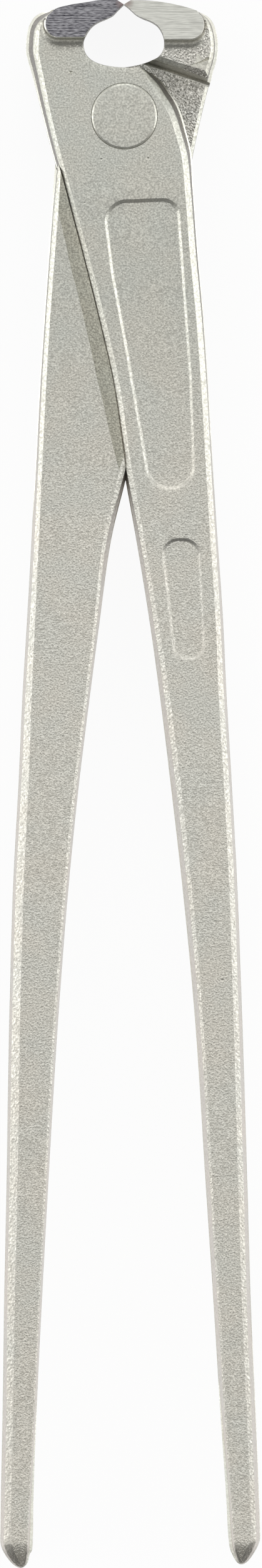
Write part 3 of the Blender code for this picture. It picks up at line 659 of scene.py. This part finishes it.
def face_finish(face, side, shape):
    """Which finish a triangle of the face gets, from its heights and its place."""
    shares = [(abs(vert.co.z) - HALF_JOINT) / PAD_HEIGHT for vert in face]
    x, y, _ = sum((vert.co for vert in face), Vector()) / 3
    if min(shares) > PAD_TOP:
        return GROUND
    # The pad's rim is painted as a highlight.
    if sum(shares) / 3 > PAD_WALL[1]:
        return PAINTED_HIGHLIGHT
    # From the pad's foot upward, the rest of its wall gets the drawn wall's painted shade.
    if sum(shares) / 3 > PAD_WALL[0]:
        return EDGE if y < PAD_FOOT_BELOW else WALL
    if y < HANDLE_START:
        return EDGE if max(shares) - min(shares) > STEEP / PAD_HEIGHT else ZINC
    if side == -1 and y > ROUGH_START and max(shares) < PAD_FLAT:
        creased = shape["crease"] and x < CREASE_SIDE
        near = creased and crease_offset(shape["crease"], x, y) > -CREASE_REACH
        return EDGE if near else ROUGH
    return ZINC


def forging(name, outline, shape):
    """The closed mesh of one lever before its cuts, in its own frame and in millimetres."""
    line = pad_line(shape["pad"])
    bm = bmesh.new()
    rings = edge_rings(outline, shape, line)
    loops = {}
    for side in (1, -1):
        loops[side] = []
        for ring in rings:
            loops[side].append([bm.verts.new((x, y, z * side)) for x, y, z in ring])
        marked = side == shape["marked"]
        places, heights, triangles, owners = face_sheet(rings[-1], shape, line, marked)
        verts = []
        for (x, y), z, owner in zip(places, heights, owners):
            on_ring = owner is not None and owner < len(rings[-1])
            verts.append(loops[side][-1][owner] if on_ring else bm.verts.new((x, y, z * side)))
        for corners in triangles:
            face = [verts[i] for i in corners]
            if len(set(face)) == 3:
                bm.faces.new(face).material_index = face_finish(face, side, shape)
    joined = [(loops[-1][0], loops[1][0], ZINC)]
    for side in (1, -1):
        for at, (lower, upper) in enumerate(zip(loops[side][:-1], loops[side][1:])):
            # The trimmed ledge carries a painted highlight, and the drawn wall painted shade near
            # the joint.
            joined.append((lower, upper, WALL if at == WALL_RING else EDGE if at else PAINTED_HIGHLIGHT))
    for lower, upper, finish in joined:
        for i in range(len(lower)):
            made = bm.faces.new((lower[i - 1], lower[i], upper[i], upper[i - 1]))
            made.material_index = finish
    bmesh.ops.remove_doubles(bm, verts=bm.verts, dist=MERGE_WITHIN)
    bmesh.ops.dissolve_degenerate(bm, edges=bm.edges, dist=MERGE_WITHIN)
    bmesh.ops.triangulate(bm, faces=bm.faces)
    for vert in bm.verts:
        vert.co.z *= thickness_share(vert.co.y)
    bmesh.ops.recalc_face_normals(bm, faces=bm.faces)
    open_edges = sum(1 for edge in bm.edges if len(edge.link_faces) != 2)
    print(name, "faces:", len(bm.faces), "open edges:", open_edges)
    mesh = bpy.data.meshes.new(name)
    bm.to_mesh(mesh)
    bm.free()
    return mesh


front_mesh = forging("front_forging", front_outline, front_shape)
rear_mesh = forging("rear_forging", rear_outline, rear_shape)

# %% [markdown]
# ## The lap recess and the rivet's hole
# Each lever is milled away to half its thickness where the other one crosses it, up to a
# shoulder behind the jaw and a ramp beside the handle. The two floors run 0.3 mm apart. The
# shape to take away is a stack of outlines that grow as they go down, with a hollow fillet at
# the floor. The shoulder's wall leans by 6 degrees and ends in a narrow rounded lip. The ramp
# ends in a wide shallow lip that eases it into the handle and grows narrower towards both its
# ends. A thin wedge breaks the outer edge of the lap's floor, and a turned shape makes the
# rivet's hole.

# %% Joint cutters
LAP_LEVEL = 0.15
# Floor steps hold a drop and the share of the fillet that is left there. The steps of a lip hold
# the depth below the face and the way out from the wall. Shoulder rows hold the reach along it.
FLOOR_STEPS = ((0.0, 0.6), (0.08, 0.36), (0.25, 0.16), (0.55, 0.04), (0.9, 0.0))
SHOULDER_TURN, SHOULDER_REACH = math.radians(108.5), 11.05
SHOULDER_SLOPE, SHOULDER_FILLET = math.tan(math.radians(6)), 1.0
SHOULDER_LIP = ((1.0, 0.0), (0.84, 0.06), (0.45, 0.45), (0.1, 0.82), (0.03, 0.93), (0.0, 1.05))
SHOULDER_ROWS = ((-13.1, 1.0, EDGE), (8.0, 1.0, EDGE), (12.0, 1.15, ROUGH), (32.0, 1.15, ROUGH))
RAMP_SLOPE, RAMP_FILLET, RAMP_CLEARANCE = -0.1, 0.35, 0.06
RAMP_LIP = ((0.62, 0.0), (0.5, 0.35), (0.36, 0.95), (0.2, 1.6), (0.08, 2.4), (0.0, 3.1))
RAMP_ALONG, RAMP_SIDE = (-69, -7), 0.3
LIP_SCALES = ((-69, 0.4), (-60, 0.7), (-48, 1.0), (-26, 1.0), (-18, 0.85), (-8, 0.55))
OPEN_BELOW, OPEN_SIDE, OPEN_TOP = ((-32, -99), (-1.1, -99)), 32, -4.6
CLEAR_DOWN, CLEAR_OUT = 6.0, 4.0
LAP_BEVEL, LAP_EDGE_SLOPE = 0.8, 0.7
LAP_EDGE_SIDE, LAP_EDGE_ALONG = -2.5, (-38, 5.6)
WEDGE_OUT, WEDGE_UNDER = 1.0, 0.05


def closed_mesh(name, loops, finishes=None, cap_finish=0):
    """A mesh through loops of equal length, capped at both ends; finishes by loop and corner."""
    bm = bmesh.new()
    rings = [[bm.verts.new(point) for point in loop] for loop in loops]
    for at, (lower, upper) in enumerate(zip(rings[:-1], rings[1:])):
        for i in range(len(lower)):
            made = bm.faces.new((lower[i - 1], lower[i], upper[i], upper[i - 1]))
            made.material_index = finishes[at][i] if finishes else 0
    for cap in (rings[0][::-1], rings[-1]):
        bm.faces.new(cap).material_index = cap_finish
    bmesh.ops.recalc_face_normals(bm, faces=bm.faces)
    mesh = bpy.data.meshes.new(name)
    bm.to_mesh(mesh)
    bm.free()
    return mesh


def lap_cutter():
    """The milled shape; rows hold X, Y, slope, fillet at the floor, lip, lip scale and finish."""
    normal = Vector((math.cos(SHOULDER_TURN), math.sin(SHOULDER_TURN)))
    along = Vector((-normal.y, normal.x))
    wall = (SHOULDER_SLOPE, SHOULDER_FILLET, SHOULDER_LIP)
    rows = []
    for reach, scale, finish in SHOULDER_ROWS:
        rows.append((*(normal * SHOULDER_REACH + along * reach), *wall, scale, finish))
    # Four corners stand clear of the lever, so the recess is open on those sides.
    clear = (0.0, 0.0, SHOULDER_LIP, 0.0, ZINC)
    rows += [(*corner, *clear) for corner in OPEN_BELOW]
    low, high = RAMP_ALONG
    crossing = [row for row in front_outline if low < row[1] < high and row[0] < RAMP_SIDE]
    for x, y, _, _ in crossing[::-2]:
        scale = float(np.interp(y, *zip(*LIP_SCALES)))
        rows.append((RAMP_CLEARANCE - x, y, RAMP_SLOPE, RAMP_FILLET, RAMP_LIP, scale, RAMP))
    rows += [(OPEN_SIDE, OPEN_TOP, *clear), (OPEN_SIDE, rows[0][1], *clear)]
    loops = []
    for drop, foot in FLOOR_STEPS:
        loop = []
        for i, (_, _, slope, fillet, *_) in enumerate(rows):
            x, y = inset(rows, i, foot * fillet - drop * slope)
            loop.append((x, y, LAP_LEVEL - drop))
        loops.append(loop)
    for step in range(len(RAMP_LIP) + 1):
        loop = []
        for i, (_, row_y, slope, _, lip, scale, _) in enumerate(rows):
            below, flare = (*lip, (-CLEAR_DOWN, lip[-1][1] + CLEAR_OUT))[step]
            below *= scale if below > 0 else 1
            drop = HALF_JOINT * thickness_share(row_y) - below
            x, y = inset(rows, i, -drop * slope - flare * scale)
            loop.append((x, y, -drop))
        loops.append(loop)
    # Below the lip, the shoulder's wall is finished like an edge and the ramp's like a wall, with
    # the wall's painted shade. The ramp's lip carries the ramp's painted shade.
    deep = [EDGE if row[-1] in (EDGE, ROUGH) else WALL for row in rows]
    shallow = [row[-1] for row in rows]
    finishes = [deep] * len(FLOOR_STEPS) + [shallow] * (len(loops) - len(FLOOR_STEPS))
    return closed_mesh("lap_cutter", loops, finishes, ROUGH)


def lap_edge_cutter(outline):
    """A long wedge that breaks the edge of the lap's floor along the outside of the jaw."""
    rows = [tuple(row) for row in outline]
    start, end = LAP_EDGE_ALONG
    low = LAP_LEVEL - WEDGE_UNDER
    high = low + (LAP_BEVEL + WEDGE_OUT) * LAP_EDGE_SLOPE
    loops = []
    for i, (x, y, _, _) in enumerate(rows):
        if x <= LAP_EDGE_SIDE and start < y < end:
            inner, outer = inset(rows, i, LAP_BEVEL), inset(rows, i, -WEDGE_OUT)
            loops.append([(*inner, low), (*outer, low), (*outer, high)])
    return closed_mesh("lap_edge_cutter", loops, [[EDGE] * 3] * (len(loops) - 1))


def turned_mesh(name, profile, steps=96):
    """A round body about Z from a half section of radius and Z, top to bottom."""
    turns = np.linspace(0, math.tau, steps, endpoint=False)
    loops = []
    for radius, z in profile:
        loops.append([(radius * math.cos(turn), radius * math.sin(turn), z) for turn in turns])
    return closed_mesh(name, loops)


print("steps from the lap's floor to its lip:", len(FLOOR_STEPS) + len(RAMP_LIP))

# %% [markdown]
# ## Cut both levers
# A Boolean is the right tool here, because the cuts run through walls, edges and faces alike, as
# a milling cutter does. The new faces take the cutter's finishes. The rivet's hole is a bore
# with a wider flat-bottomed seat for the head.

# %% Cut the joint
def cut(piece, cutter_mesh):
    """Take the cutter's shape out of the piece, which keeps the cutter's finishes there."""
    cutter = bpy.data.objects.new("cutter", cutter_mesh)
    bpy.context.scene.collection.objects.link(cutter)
    boolean = piece.modifiers.new("cut", "BOOLEAN")
    boolean.operation = "DIFFERENCE"
    boolean.solver = "EXACT"
    boolean.object = cutter
    evaluated = piece.evaluated_get(bpy.context.evaluated_depsgraph_get())
    mesh = bpy.data.meshes.new_from_object(evaluated)
    piece.modifiers.clear()
    piece.data = mesh
    bpy.data.objects.remove(cutter, do_unlink=True)


hole_profile = ((6.31, 12.0), (6.31, 5.0), (4.7, 5.0), (4.7, -14.0))
levers = {}
for name, mesh, outline in (
    ("front", front_mesh, front_outline), ("rear", rear_mesh, rear_outline)
):
    lever = bpy.data.objects.new(name + "_lever_forging", mesh)
    bpy.context.scene.collection.objects.link(lever)
    for slot in ("zinc", "ground", "rough", "wall", "bright", "edge", "ramp"):
        lever.data.materials.append(bpy.data.materials.new(slot))
    cut(lever, lap_cutter())
    cut(lever, lap_edge_cutter(outline))
    cut(lever, turned_mesh("hole_cutter", hole_profile))
    levers[name] = lever
    print(name, "lever after its cuts:", len(lever.data.polygons), "faces")

# %% [markdown]
# ## The rivet
# A rivet is turned bar: its two heads are pressed into counterbores and dressed nearly flush.
# The head swells until it fills its seat, so there is no gap to see: only a shallow groove with
# a bright rim, where the head's edge is broken. A profile swept round the axis is exactly how
# such a pin is made. The head is crowned by a tenth of a millimetre.

# %% Rivet
RIM_RADII = (5.9, 6.2)
upper_profile = (
    (0.02, 8.36), (2.5, 8.35), (4.6, 8.32), (5.7, 8.28), (5.88, 8.26), (5.93, 8.24),
    (6.17, 8.0), (6.26, 7.95), (6.3, 7.9), (6.3, 5.2), (4.5, 5.2),
)
lower_profile = tuple((radius, -z) for radius, z in upper_profile[::-1])
rivet = bpy.data.objects.new("rivet_turned", turned_mesh("rivet", upper_profile + lower_profile))
bpy.context.scene.collection.objects.link(rivet)
rivet.data.materials.append(bpy.data.materials.new("rivet"))
rivet.data.materials.append(bpy.data.materials.new("rim"))
for face in rivet.data.polygons:
    radius = math.hypot(*face.center[:2])
    face.material_index = int(RIM_RADII[0] < radius < RIM_RADII[1])
print("rivet faces:", len(rivet.data.polygons))

# %% [markdown]
# ## Put the pieces on the frame
# Each piece was made about the rivet's axis in millimetres. Its points are moved to the frame's
# place in metres, with the rear lever turned half a turn about the tool's axis. Soft edges are
# shaded smooth, and edges over 32 degrees stay crisp. So do the edges round the second finish,
# the ground steel of a lever or the rim of the rivet, because the plating ends there at once.

# %% Place the pieces
CRISP_ANGLE = math.radians(32)


def place(piece, turned_over):
    """Move the piece to its place on the frame and shade it."""
    flip = -1 if turned_over else 1
    for vert in piece.data.vertices:
        x, y, z = vert.co
        vert.co = (Vector((x * flip, y, z * flip)) + PIVOT) * MM
    piece.data.shade_smooth()
    piece.data.set_sharp_from_angle(angle=CRISP_ANGLE)
    beside = {}
    for face in piece.data.polygons:
        for key in face.edge_keys:
            beside.setdefault(key, set()).add(face.material_index == GROUND)
    for edge in piece.data.edges:
        edge.use_edge_sharp |= len(beside[edge.key]) == 2
    weighted = piece.modifiers.new("even_faces", "WEIGHTED_NORMAL")
    weighted.keep_sharp = True


place(levers["front"], False)
place(levers["rear"], True)
place(rivet, False)
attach(levers["front"], "front_lever_body")
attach(levers["rear"], "rear_lever_body")
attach(rivet, "rear_lever_body")
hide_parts("front_lever")
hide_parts("rear_lever")
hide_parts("rivet")

# %% [markdown]
# ## Helpers for the finishes
# Colours are written as sRGB hex, as a paint shop would, and turned to the linear values that
# Blender works in. One function adds any node with its settings and its links. It finds an input
# by its name, or by its number where a node has several of one name: 0, 6 and 7 are the factor
# and the two colours of a Mix node, and 0 to 4 are the value, the range it is read in and the
# range it is written in of a Map Range node.

# %% Colour and node helpers
def linear(hex_colour):
    """Linear red, green, blue and alpha of an sRGB hex colour, by the sRGB standard's curve."""
    channels = [int(hex_colour[i:i + 2], 16) / 255 for i in (1, 3, 5)]
    return (*[c / 12.92 if c <= 0.04045 else ((c + 0.055) / 1.055) ** 2.4 for c in channels], 1)


def add(tree, kind, inputs=None, **settings):
    """A new node with its settings; an input takes a value, or the output that feeds it."""
    made = tree.nodes.new(kind)
    for key, value in settings.items():
        setattr(made, key, value)
    for key, value in (inputs or {}).items():
        if isinstance(value, bpy.types.NodeSocket):
            tree.links.new(value, made.inputs[key])
        else:
            made.inputs[key].default_value = value
    return made


def new_finish(name):
    """An empty material, its node tree, and a position in millimetres on the piece."""
    material = bpy.data.materials.new(name)
    material.use_nodes = True
    tree = material.node_tree
    tree.nodes.clear()
    metres = add(tree, "ShaderNodeTexCoord").outputs["Object"]
    spot = add(tree, "ShaderNodeVectorMath", {0: metres, 3: 1 / MM}, operation="SCALE")
    return material, tree, spot.outputs["Vector"]


print("mid grey is linear", round(linear("#808080")[0], 3))

# %% [markdown]
# ## Zinc plated forged steel
# The forging is shot blasted to clean off its scale and then electroplated with zinc. The
# blasting leaves a fine pebbled skin, and the plating turns it into a pale, slightly warm grey
# with countless small glints. Some come from the skin's bumps, and some are painted into its
# grey. Grains of shot are 0.2 to 0.5 mm, so the pebbles are drawn at 0.25 to 0.4 mm. A metal
# shows almost nothing but reflections, so the relief matters more than the colour. Very slow
# patches of warmer and cooler grey keep large faces alive. The skin is rougher and paler on the
# handles than on the joint. The handles' ends curve down, and from a ragged line outward they
# are darkened with painted shade. A picture of such a skin could be wrapped round the lever,
# but noise measured in millimetres has no seams and no stretching.
#
# One function makes all seven plated finishes. They differ in the size and depth of their
# pebbles, in their greys and in how sharply they mirror: the floor of the lap is coarse, the
# drawn walls are dull with painted shade near the joint, the ramp is darkened with painted
# shade, and the ledges and the pads' rims are smooth and painted bright as a highlight.

# %% Zinc plated finish
# The blends are places in mm along the tool: joint to handle, and into the ends' painted shade.
HANDLE_BLEND = (95.0, 50.0)
END_BLEND, END_RAGGED = (-144.2, -145.6), 2.4
PEBBLES_PER_GRIT, CELLS_PER_GRIT, PATCHES_PER_MM = 0.75, 0.8, 0.11
GRAIN_AND_GLINT_RANGE, WARM_RANGE, ROUGH_RANGE = (0.38, 0.64), (0.35, 0.65), (0.3, 0.7)
COOL_TINT, WARM_TINT = "#F7F8F4", "#FBF9F3"
SOFT_EDGE = 0.15


def zinc_plated(name, grit, relief, joint_greys, handle_greys, rough_low, rough_high,
                end_shade_tint="#FFFFFF"):
    """Pebbles of grit mm and relief mm deep; each pair of greys is a dark and a light one."""
    material, tree, spot = new_finish(name)
    along = add(tree, "ShaderNodeSeparateXYZ", {0: spot}).outputs["Y"]
    handle = add(tree, "ShaderNodeMapRange", {
        0: along, 1: HANDLE_BLEND[0], 2: HANDLE_BLEND[1], 3: 0.0, 4: 1.0}).outputs[0]
    pebble = add(tree, "ShaderNodeTexNoise", {
        "Vector": spot, "Scale": PEBBLES_PER_GRIT / grit, "Detail": 3.0,
        "Roughness": 0.62}).outputs["Fac"]
    cells = add(tree, "ShaderNodeTexVoronoi", {
        "Vector": spot, "Scale": CELLS_PER_GRIT / grit, "Smoothness": 0.6},
        feature="SMOOTH_F1").outputs["Distance"]
    patch = add(tree, "ShaderNodeTexNoise", {
        "Vector": spot, "Scale": PATCHES_PER_MM, "Detail": 2.0}).outputs["Fac"]
    # The greys follow the pebbles: partly the skin's own grain, partly painted glints.
    grain_and_painted_glint = add(tree, "ShaderNodeMapRange", {
        0: pebble, 1: GRAIN_AND_GLINT_RANGE[0], 2: GRAIN_AND_GLINT_RANGE[1], 3: 0.0, 4: 1.0}).outputs[0]
    greys = []
    for joint_grey, handle_grey in zip(joint_greys, handle_greys):
        greys.append(add(tree, "ShaderNodeMix", {
            0: handle, 6: linear(joint_grey), 7: linear(handle_grey)},
            data_type="RGBA").outputs[2])
    grey = add(tree, "ShaderNodeMix", {0: grain_and_painted_glint, 6: greys[0], 7: greys[1]},
               data_type="RGBA").outputs[2]
    warm = add(tree, "ShaderNodeMapRange", {
        0: patch, 1: WARM_RANGE[0], 2: WARM_RANGE[1]}).outputs[0]
    tint = add(tree, "ShaderNodeMix", {
        0: warm, 6: linear(COOL_TINT), 7: linear(WARM_TINT)}, data_type="RGBA").outputs[2]
    colour = add(tree, "ShaderNodeMix", {0: 1.0, 6: grey, 7: tint},
                 data_type="RGBA", blend_type="MULTIPLY").outputs[2]
    # Painted shade: the handles' ends are darkened from a ragged line outward, where they curve
    # down.
    ragged = add(tree, "ShaderNodeMath", {0: pebble, 1: END_RAGGED, 2: along},
                 operation="MULTIPLY_ADD").outputs[0]
    end_shade = add(tree, "ShaderNodeMapRange", {
        0: ragged, 1: END_BLEND[0], 2: END_BLEND[1], 3: 0.0, 4: 1.0}).outputs[0]
    colour = add(tree, "ShaderNodeMix", {0: end_shade, 6: colour, 7: linear(end_shade_tint)},
                 data_type="RGBA", blend_type="MULTIPLY").outputs[2]
    rough = add(tree, "ShaderNodeMapRange", {
        0: pebble, 1: ROUGH_RANGE[0], 2: ROUGH_RANGE[1], 3: rough_high,
        4: rough_low}).outputs[0]
    height = add(tree, "ShaderNodeMath", {0: pebble, 1: cells}, operation="ADD").outputs[0]
    coarser = add(tree, "ShaderNodeMath", {0: handle, 1: 1.0, 2: 1.0},
                  operation="MULTIPLY_ADD").outputs[0]
    height = add(tree, "ShaderNodeMath", {0: height, 1: coarser}, operation="MULTIPLY").outputs[0]
    soft_edge = add(tree, "ShaderNodeBevel", {"Radius": SOFT_EDGE * MM}, samples=4).outputs[0]
    skin = add(tree, "ShaderNodeBump", {
        "Strength": 1.0, "Distance": relief * MM, "Height": height,
        "Normal": soft_edge}).outputs[0]
    shader = add(tree, "ShaderNodeBsdfPrincipled", {
        "Base Color": colour, "Metallic": 1.0, "Roughness": rough, "Normal": skin})
    add(tree, "ShaderNodeOutputMaterial", {"Surface": shader.outputs[0]})
    return material


# The last grey given to a finish tints the painted shade at the handles' ends.
pale_greys, joint_greys = ("#BFBDB7", "#E9E7E1"), ("#B3B3AE", "#DBDBD5")
zinc = zinc_plated("zinc plated forged steel", 0.25, 0.036, joint_greys, pale_greys, 0.30, 0.50,
                   "#F4F2F0")
edge_zinc = zinc_plated("zinc plated forged steel, die edge", 0.35, 0.022,
                        ("#BEBEB8", "#DEDED8"), ("#BAB8B3", "#D8D6D1"), 0.32, 0.46, "#DFDDDC")
rough_zinc = zinc_plated("zinc plated steel, rough floor of the lap", 0.27, 0.13,
                         ("#979692", "#F5F4F0"), ("#979692", "#F5F4F0"), 0.22, 0.42)
# The drawn wall's dark greys near the joint are painted shade; they are paler on the handles.
shaded_wall_zinc = zinc_plated("zinc plated steel, drawn wall with painted shade", 0.35, 0.04,
                        ("#7B7774", "#969290"), ("#D0CBC8", "#E2DDDA"), 0.36, 0.55, "#DAD8D7")
# The ramp's darker olive greys are painted shade beside the crossing lever's edge.
shaded_ramp_zinc = zinc_plated("zinc plated steel, ramp beside the handle", 0.27, 0.04,
                        ("#929189", "#BFBEB3"), ("#929189", "#BFBEB3"), 0.3, 0.5)
# The ledges and the pads' rims are painted near white as a highlight.
highlight_zinc = zinc_plated("zinc plated steel, edge with painted highlight", 0.4, 0.01,
                          ("#E6E6DF", "#F6F6F0"), ("#E6E6DF", "#F6F6F0"), 0.22, 0.34)
rivet_zinc = zinc_plated("zinc plated rivet steel", 0.3, 0.03, joint_greys, joint_greys,
                         0.34, 0.5)
for finish in (zinc, edge_zinc, rough_zinc, shaded_wall_zinc, shaded_ramp_zinc, highlight_zinc, rivet_zinc):
    print("finish:", finish.name)

# %% [markdown]
# ## Bare ground steel
# The belt grinder takes the plating off the sides of the jaws. Its grit drags scratches about
# 0.1 mm wide and several millimetres long, nearly square to the handles, so the noise is
# stretched along X. The broadest are drawn 0.2 mm wide, because finer ones would be lost at the
# camera's distance. An anisotropic shader gives a similar sheen, but no single scratches. Both
# jaws are ground steel in two painted tones. The left is painted dark and faintly violet, a
# painted reflection of the dark surroundings that its flat face mirrors. The right is painted
# pale, a painted reflection of bright surroundings. The very tips of the cutting edges are
# tempered brown.

# %% Ground finish
# The tip's place and fade are in mm, and the burn is the share of brown at the tip itself.
STREAKS_PER_MM, FLECKS_PER_MM = (0.16, 4.8), (1.6, 6.0)
SCRATCH_TURN, SCRATCH_DEPTH = math.radians(2), 0.006
SHARE_RANGE, STREAK_RANGE = (0.84, 1.16), (0.3, 0.7)
TIP_ALONG, TIP_LEVEL, TIP_FADE, TIP_BURN = 149.3, 20.0, (0.4, 1.4), 0.6


def ground_steel(name, dark, light, rough_low, rough_high, stretch, seed, edge_x):
    """Scratches along X that are longer with more stretch; edge_x is the cutting edge's place."""
    material, tree, spot = new_finish(name)
    streak_spot = add(tree, "ShaderNodeMapping", {
        "Vector": spot, "Location": (seed, 0, 0), "Rotation": (0, 0, SCRATCH_TURN),
        "Scale": (STREAKS_PER_MM[0] / stretch, STREAKS_PER_MM[1], 1.0)}).outputs[0]
    streak = add(tree, "ShaderNodeTexNoise", {
        "Vector": streak_spot, "Scale": 1.0, "Detail": 3.0, "Roughness": 0.6}).outputs["Fac"]
    fleck_spot = add(tree, "ShaderNodeMapping", {
        "Vector": spot, "Location": (seed, 3, 0),
        "Scale": (FLECKS_PER_MM[0] / stretch, FLECKS_PER_MM[1], 1.0)}).outputs[0]
    fleck = add(tree, "ShaderNodeTexNoise", {
        "Vector": fleck_spot, "Scale": 1.0, "Detail": 3.0}).outputs["Fac"]
    both = add(tree, "ShaderNodeMath", {0: streak, 1: fleck}, operation="ADD").outputs[0]
    share = add(tree, "ShaderNodeMapRange", {
        0: both, 1: SHARE_RANGE[0], 2: SHARE_RANGE[1]}).outputs[0]
    steel = add(tree, "ShaderNodeMix", {
        0: share, 6: linear(dark), 7: linear(light)}, data_type="RGBA").outputs[2]
    away = add(tree, "ShaderNodeVectorMath", {0: spot, 1: (edge_x, TIP_ALONG, TIP_LEVEL)},
               operation="DISTANCE").outputs["Value"]
    burnt = add(tree, "ShaderNodeMapRange", {
        0: away, 1: TIP_FADE[0], 2: TIP_FADE[1], 3: TIP_BURN, 4: 0.0}).outputs[0]
    colour = add(tree, "ShaderNodeMix", {
        0: burnt, 6: steel, 7: linear("#86706C")}, data_type="RGBA").outputs[2]
    rough = add(tree, "ShaderNodeMapRange", {
        0: streak, 1: STREAK_RANGE[0], 2: STREAK_RANGE[1], 3: rough_low,
        4: rough_high}).outputs[0]
    scratch = add(tree, "ShaderNodeBump", {
        "Strength": 1.0, "Distance": SCRATCH_DEPTH * MM, "Height": streak}).outputs[0]
    shader = add(tree, "ShaderNodeBsdfPrincipled", {
        "Base Color": colour, "Metallic": 1.0, "Roughness": rough, "Normal": scratch})
    add(tree, "ShaderNodeOutputMaterial", {"Surface": shader.outputs[0]})
    return material


# The dark and the pale greys of the two jaws are painted reflections, not two different steels.
ground_dark_reflection = ground_steel("ground steel, painted dark reflection", "#45444A", "#A8A7AB", 0.3, 0.45, 1.7,
                           3, -0.4)
ground_pale_reflection = ground_steel("ground steel, painted pale reflection", "#B9B9B2", "#DCDCD4", 0.28, 0.42, 4.0, 11, 0.6)
for lever, ground in ((levers["front"], ground_dark_reflection), (levers["rear"], ground_pale_reflection)):
    finishes = (zinc, ground, rough_zinc, shaded_wall_zinc, highlight_zinc, edge_zinc, shaded_ramp_zinc)
    for slot, finish in zip(lever.material_slots, finishes):
        slot.material = finish
rivet.material_slots[0].material = rivet_zinc
rivet.material_slots[1].material = edge_zinc
print("ground finishes:", ground_dark_reflection.name, "|", ground_pale_reflection.name)

# %% [markdown]
# ## The white table
# The photograph is a cut-out on white. A table that is mostly its own white for the eye, and in
# what the metal mirrors, keeps only a faint shadow, while a plain white cloth under these
# lamps would turn grey. It is wide enough to fill the view in every reflection.

# %% White table
FLOOR_SIDE, GLOW_SHARE = 4.0, 0.92
square = ((-1, -1), (1, -1), (1, 1), (-1, 1))
floor_corners = [(x * FLOOR_SIDE, y * FLOOR_SIDE, 0) for x, y in square]
floor_mesh = bpy.data.meshes.new("floor")
floor_mesh.from_pydata(floor_corners, [], [(0, 1, 2, 3)])
floor = bpy.data.objects.new("floor", floor_mesh)
bpy.context.scene.collection.objects.link(floor)
white = bpy.data.materials.new("white table")
white.use_nodes = True
tree = white.node_tree
tree.nodes.clear()
path = add(tree, "ShaderNodeLightPath").outputs
seen = add(tree, "ShaderNodeMath", {0: path["Is Camera Ray"], 1: path["Is Glossy Ray"]},
           operation="MAXIMUM").outputs[0]
seen = add(tree, "ShaderNodeMath", {0: seen, 1: path["Is Transmission Ray"]},
           operation="MAXIMUM").outputs[0]
own = add(tree, "ShaderNodeMath", {0: seen, 1: GLOW_SHARE}, operation="MULTIPLY").outputs[0]
cloth = add(tree, "ShaderNodeBsdfDiffuse", {"Color": linear("#F4F4F4")}).outputs[0]
glow = add(tree, "ShaderNodeEmission", {"Color": linear("#FFFFFF"), "Strength": 1.0}).outputs[0]
mixed = add(tree, "ShaderNodeMixShader", {0: own, 1: cloth, 2: glow}).outputs[0]
add(tree, "ShaderNodeOutputMaterial", {"Surface": mixed})
floor_mesh.materials.append(white)
print("table is", round(floor.dimensions.x, 1), "m wide")

# %% [markdown]
# ## Sky and soft boxes
# The light is soft and comes from beyond the jaws and from both sides, and the side towards the
# handles' ends is dark. The sky is white near the horizon and towards the jaws, and fades to a
# dark grey high up behind the handles. That change of tone is what models every slope in the
# metal. A panorama of a real studio could do this too, but two fades say plainly what is bright.
# Three soft boxes, one beyond the jaws and one on each side, brighten the bevels.

# %% Sky and soft boxes
# Fades are parts of a direction's length: -1 is towards the handles' ends, 1 is straight up.
SKY_FADE, SKY_DARK = (-0.75, -0.05), 0.12
HORIZON_FADE = (0.08, 0.22)
SOFT_BOXES = (
    ("beyond_jaws", (0, 1.3, 0.55), 0.9), ("left", (-1.2, 0.1, 0.4), 0.8),
    ("right", (1.2, 0.1, 0.4), 0.8),
)
SOFT_BOX_WATTS = 3
world = bpy.data.worlds.new("studio")
bpy.context.scene.world = world
world.use_nodes = True
tree = world.node_tree
tree.nodes.clear()
way = add(tree, "ShaderNodeTexCoord").outputs["Generated"]
split = add(tree, "ShaderNodeSeparateXYZ", {0: way}).outputs
towards = add(tree, "ShaderNodeMapRange", {
    0: split["Y"], 1: SKY_FADE[0], 2: SKY_FADE[1], 3: SKY_DARK, 4: 1.0},
    interpolation_type="SMOOTHSTEP").outputs[0]
low = add(tree, "ShaderNodeMapRange", {
    0: split["Z"], 1: HORIZON_FADE[0], 2: HORIZON_FADE[1], 3: 1.0, 4: 0.0}).outputs[0]
level = add(tree, "ShaderNodeMath", {0: towards, 1: low}, operation="MAXIMUM").outputs[0]
sky = add(tree, "ShaderNodeBackground", {"Color": linear("#FFFFFF"), "Strength": level})
add(tree, "ShaderNodeOutputWorld", {"Surface": sky.outputs[0]})

for name, spot, size in SOFT_BOXES:
    data = bpy.data.lights.new(name, "AREA")
    data.shape = "SQUARE"
    data.size = size
    data.energy = SOFT_BOX_WATTS
    lamp = bpy.data.objects.new(name, data)
    lamp.location = spot
    lamp.rotation_mode = "QUATERNION"
    lamp.rotation_quaternion = (-Vector(spot)).to_track_quat("-Z", "Y")
    bpy.context.scene.collection.objects.link(lamp)

# %% [markdown]
# ## Camera
# A long lens 2.35 m above the table keeps the handles nearly free of perspective, as in the
# photograph. The camera hangs over the joint, so it looks straight down on the jaws and slightly
# aslant on the handles, and a tilt brings the tool's middle to the middle of the frame. The
# small roll is that of the tool in the photograph.

# %% Camera
CAMERA_PLACE = (1.23 * MM, 120 * MM, 2350 * MM)
TILT, ROLL = -0.051021, -0.00415
SENSOR, LENS, FARTHEST = 36, 281.56, 50
camera_data = bpy.data.cameras.new("camera")
camera_data.sensor_width = SENSOR
camera_data.lens = LENS
camera_data.clip_end = FARTHEST
camera = bpy.data.objects.new("camera", camera_data)
camera.location = CAMERA_PLACE
camera.rotation_euler = (TILT, 0, ROLL)
bpy.context.scene.collection.objects.link(camera)
bpy.context.scene.camera = camera
bpy.context.scene.view_settings.view_transform = "Standard"
print("lens, mm:", round(camera_data.lens, 1))

# %% [markdown]
# The view layer is brought up to date at the end. The fine meshes must stay inside the box
# of the CAD frame.

# %% Update the view layer
bpy.context.view_layer.update()
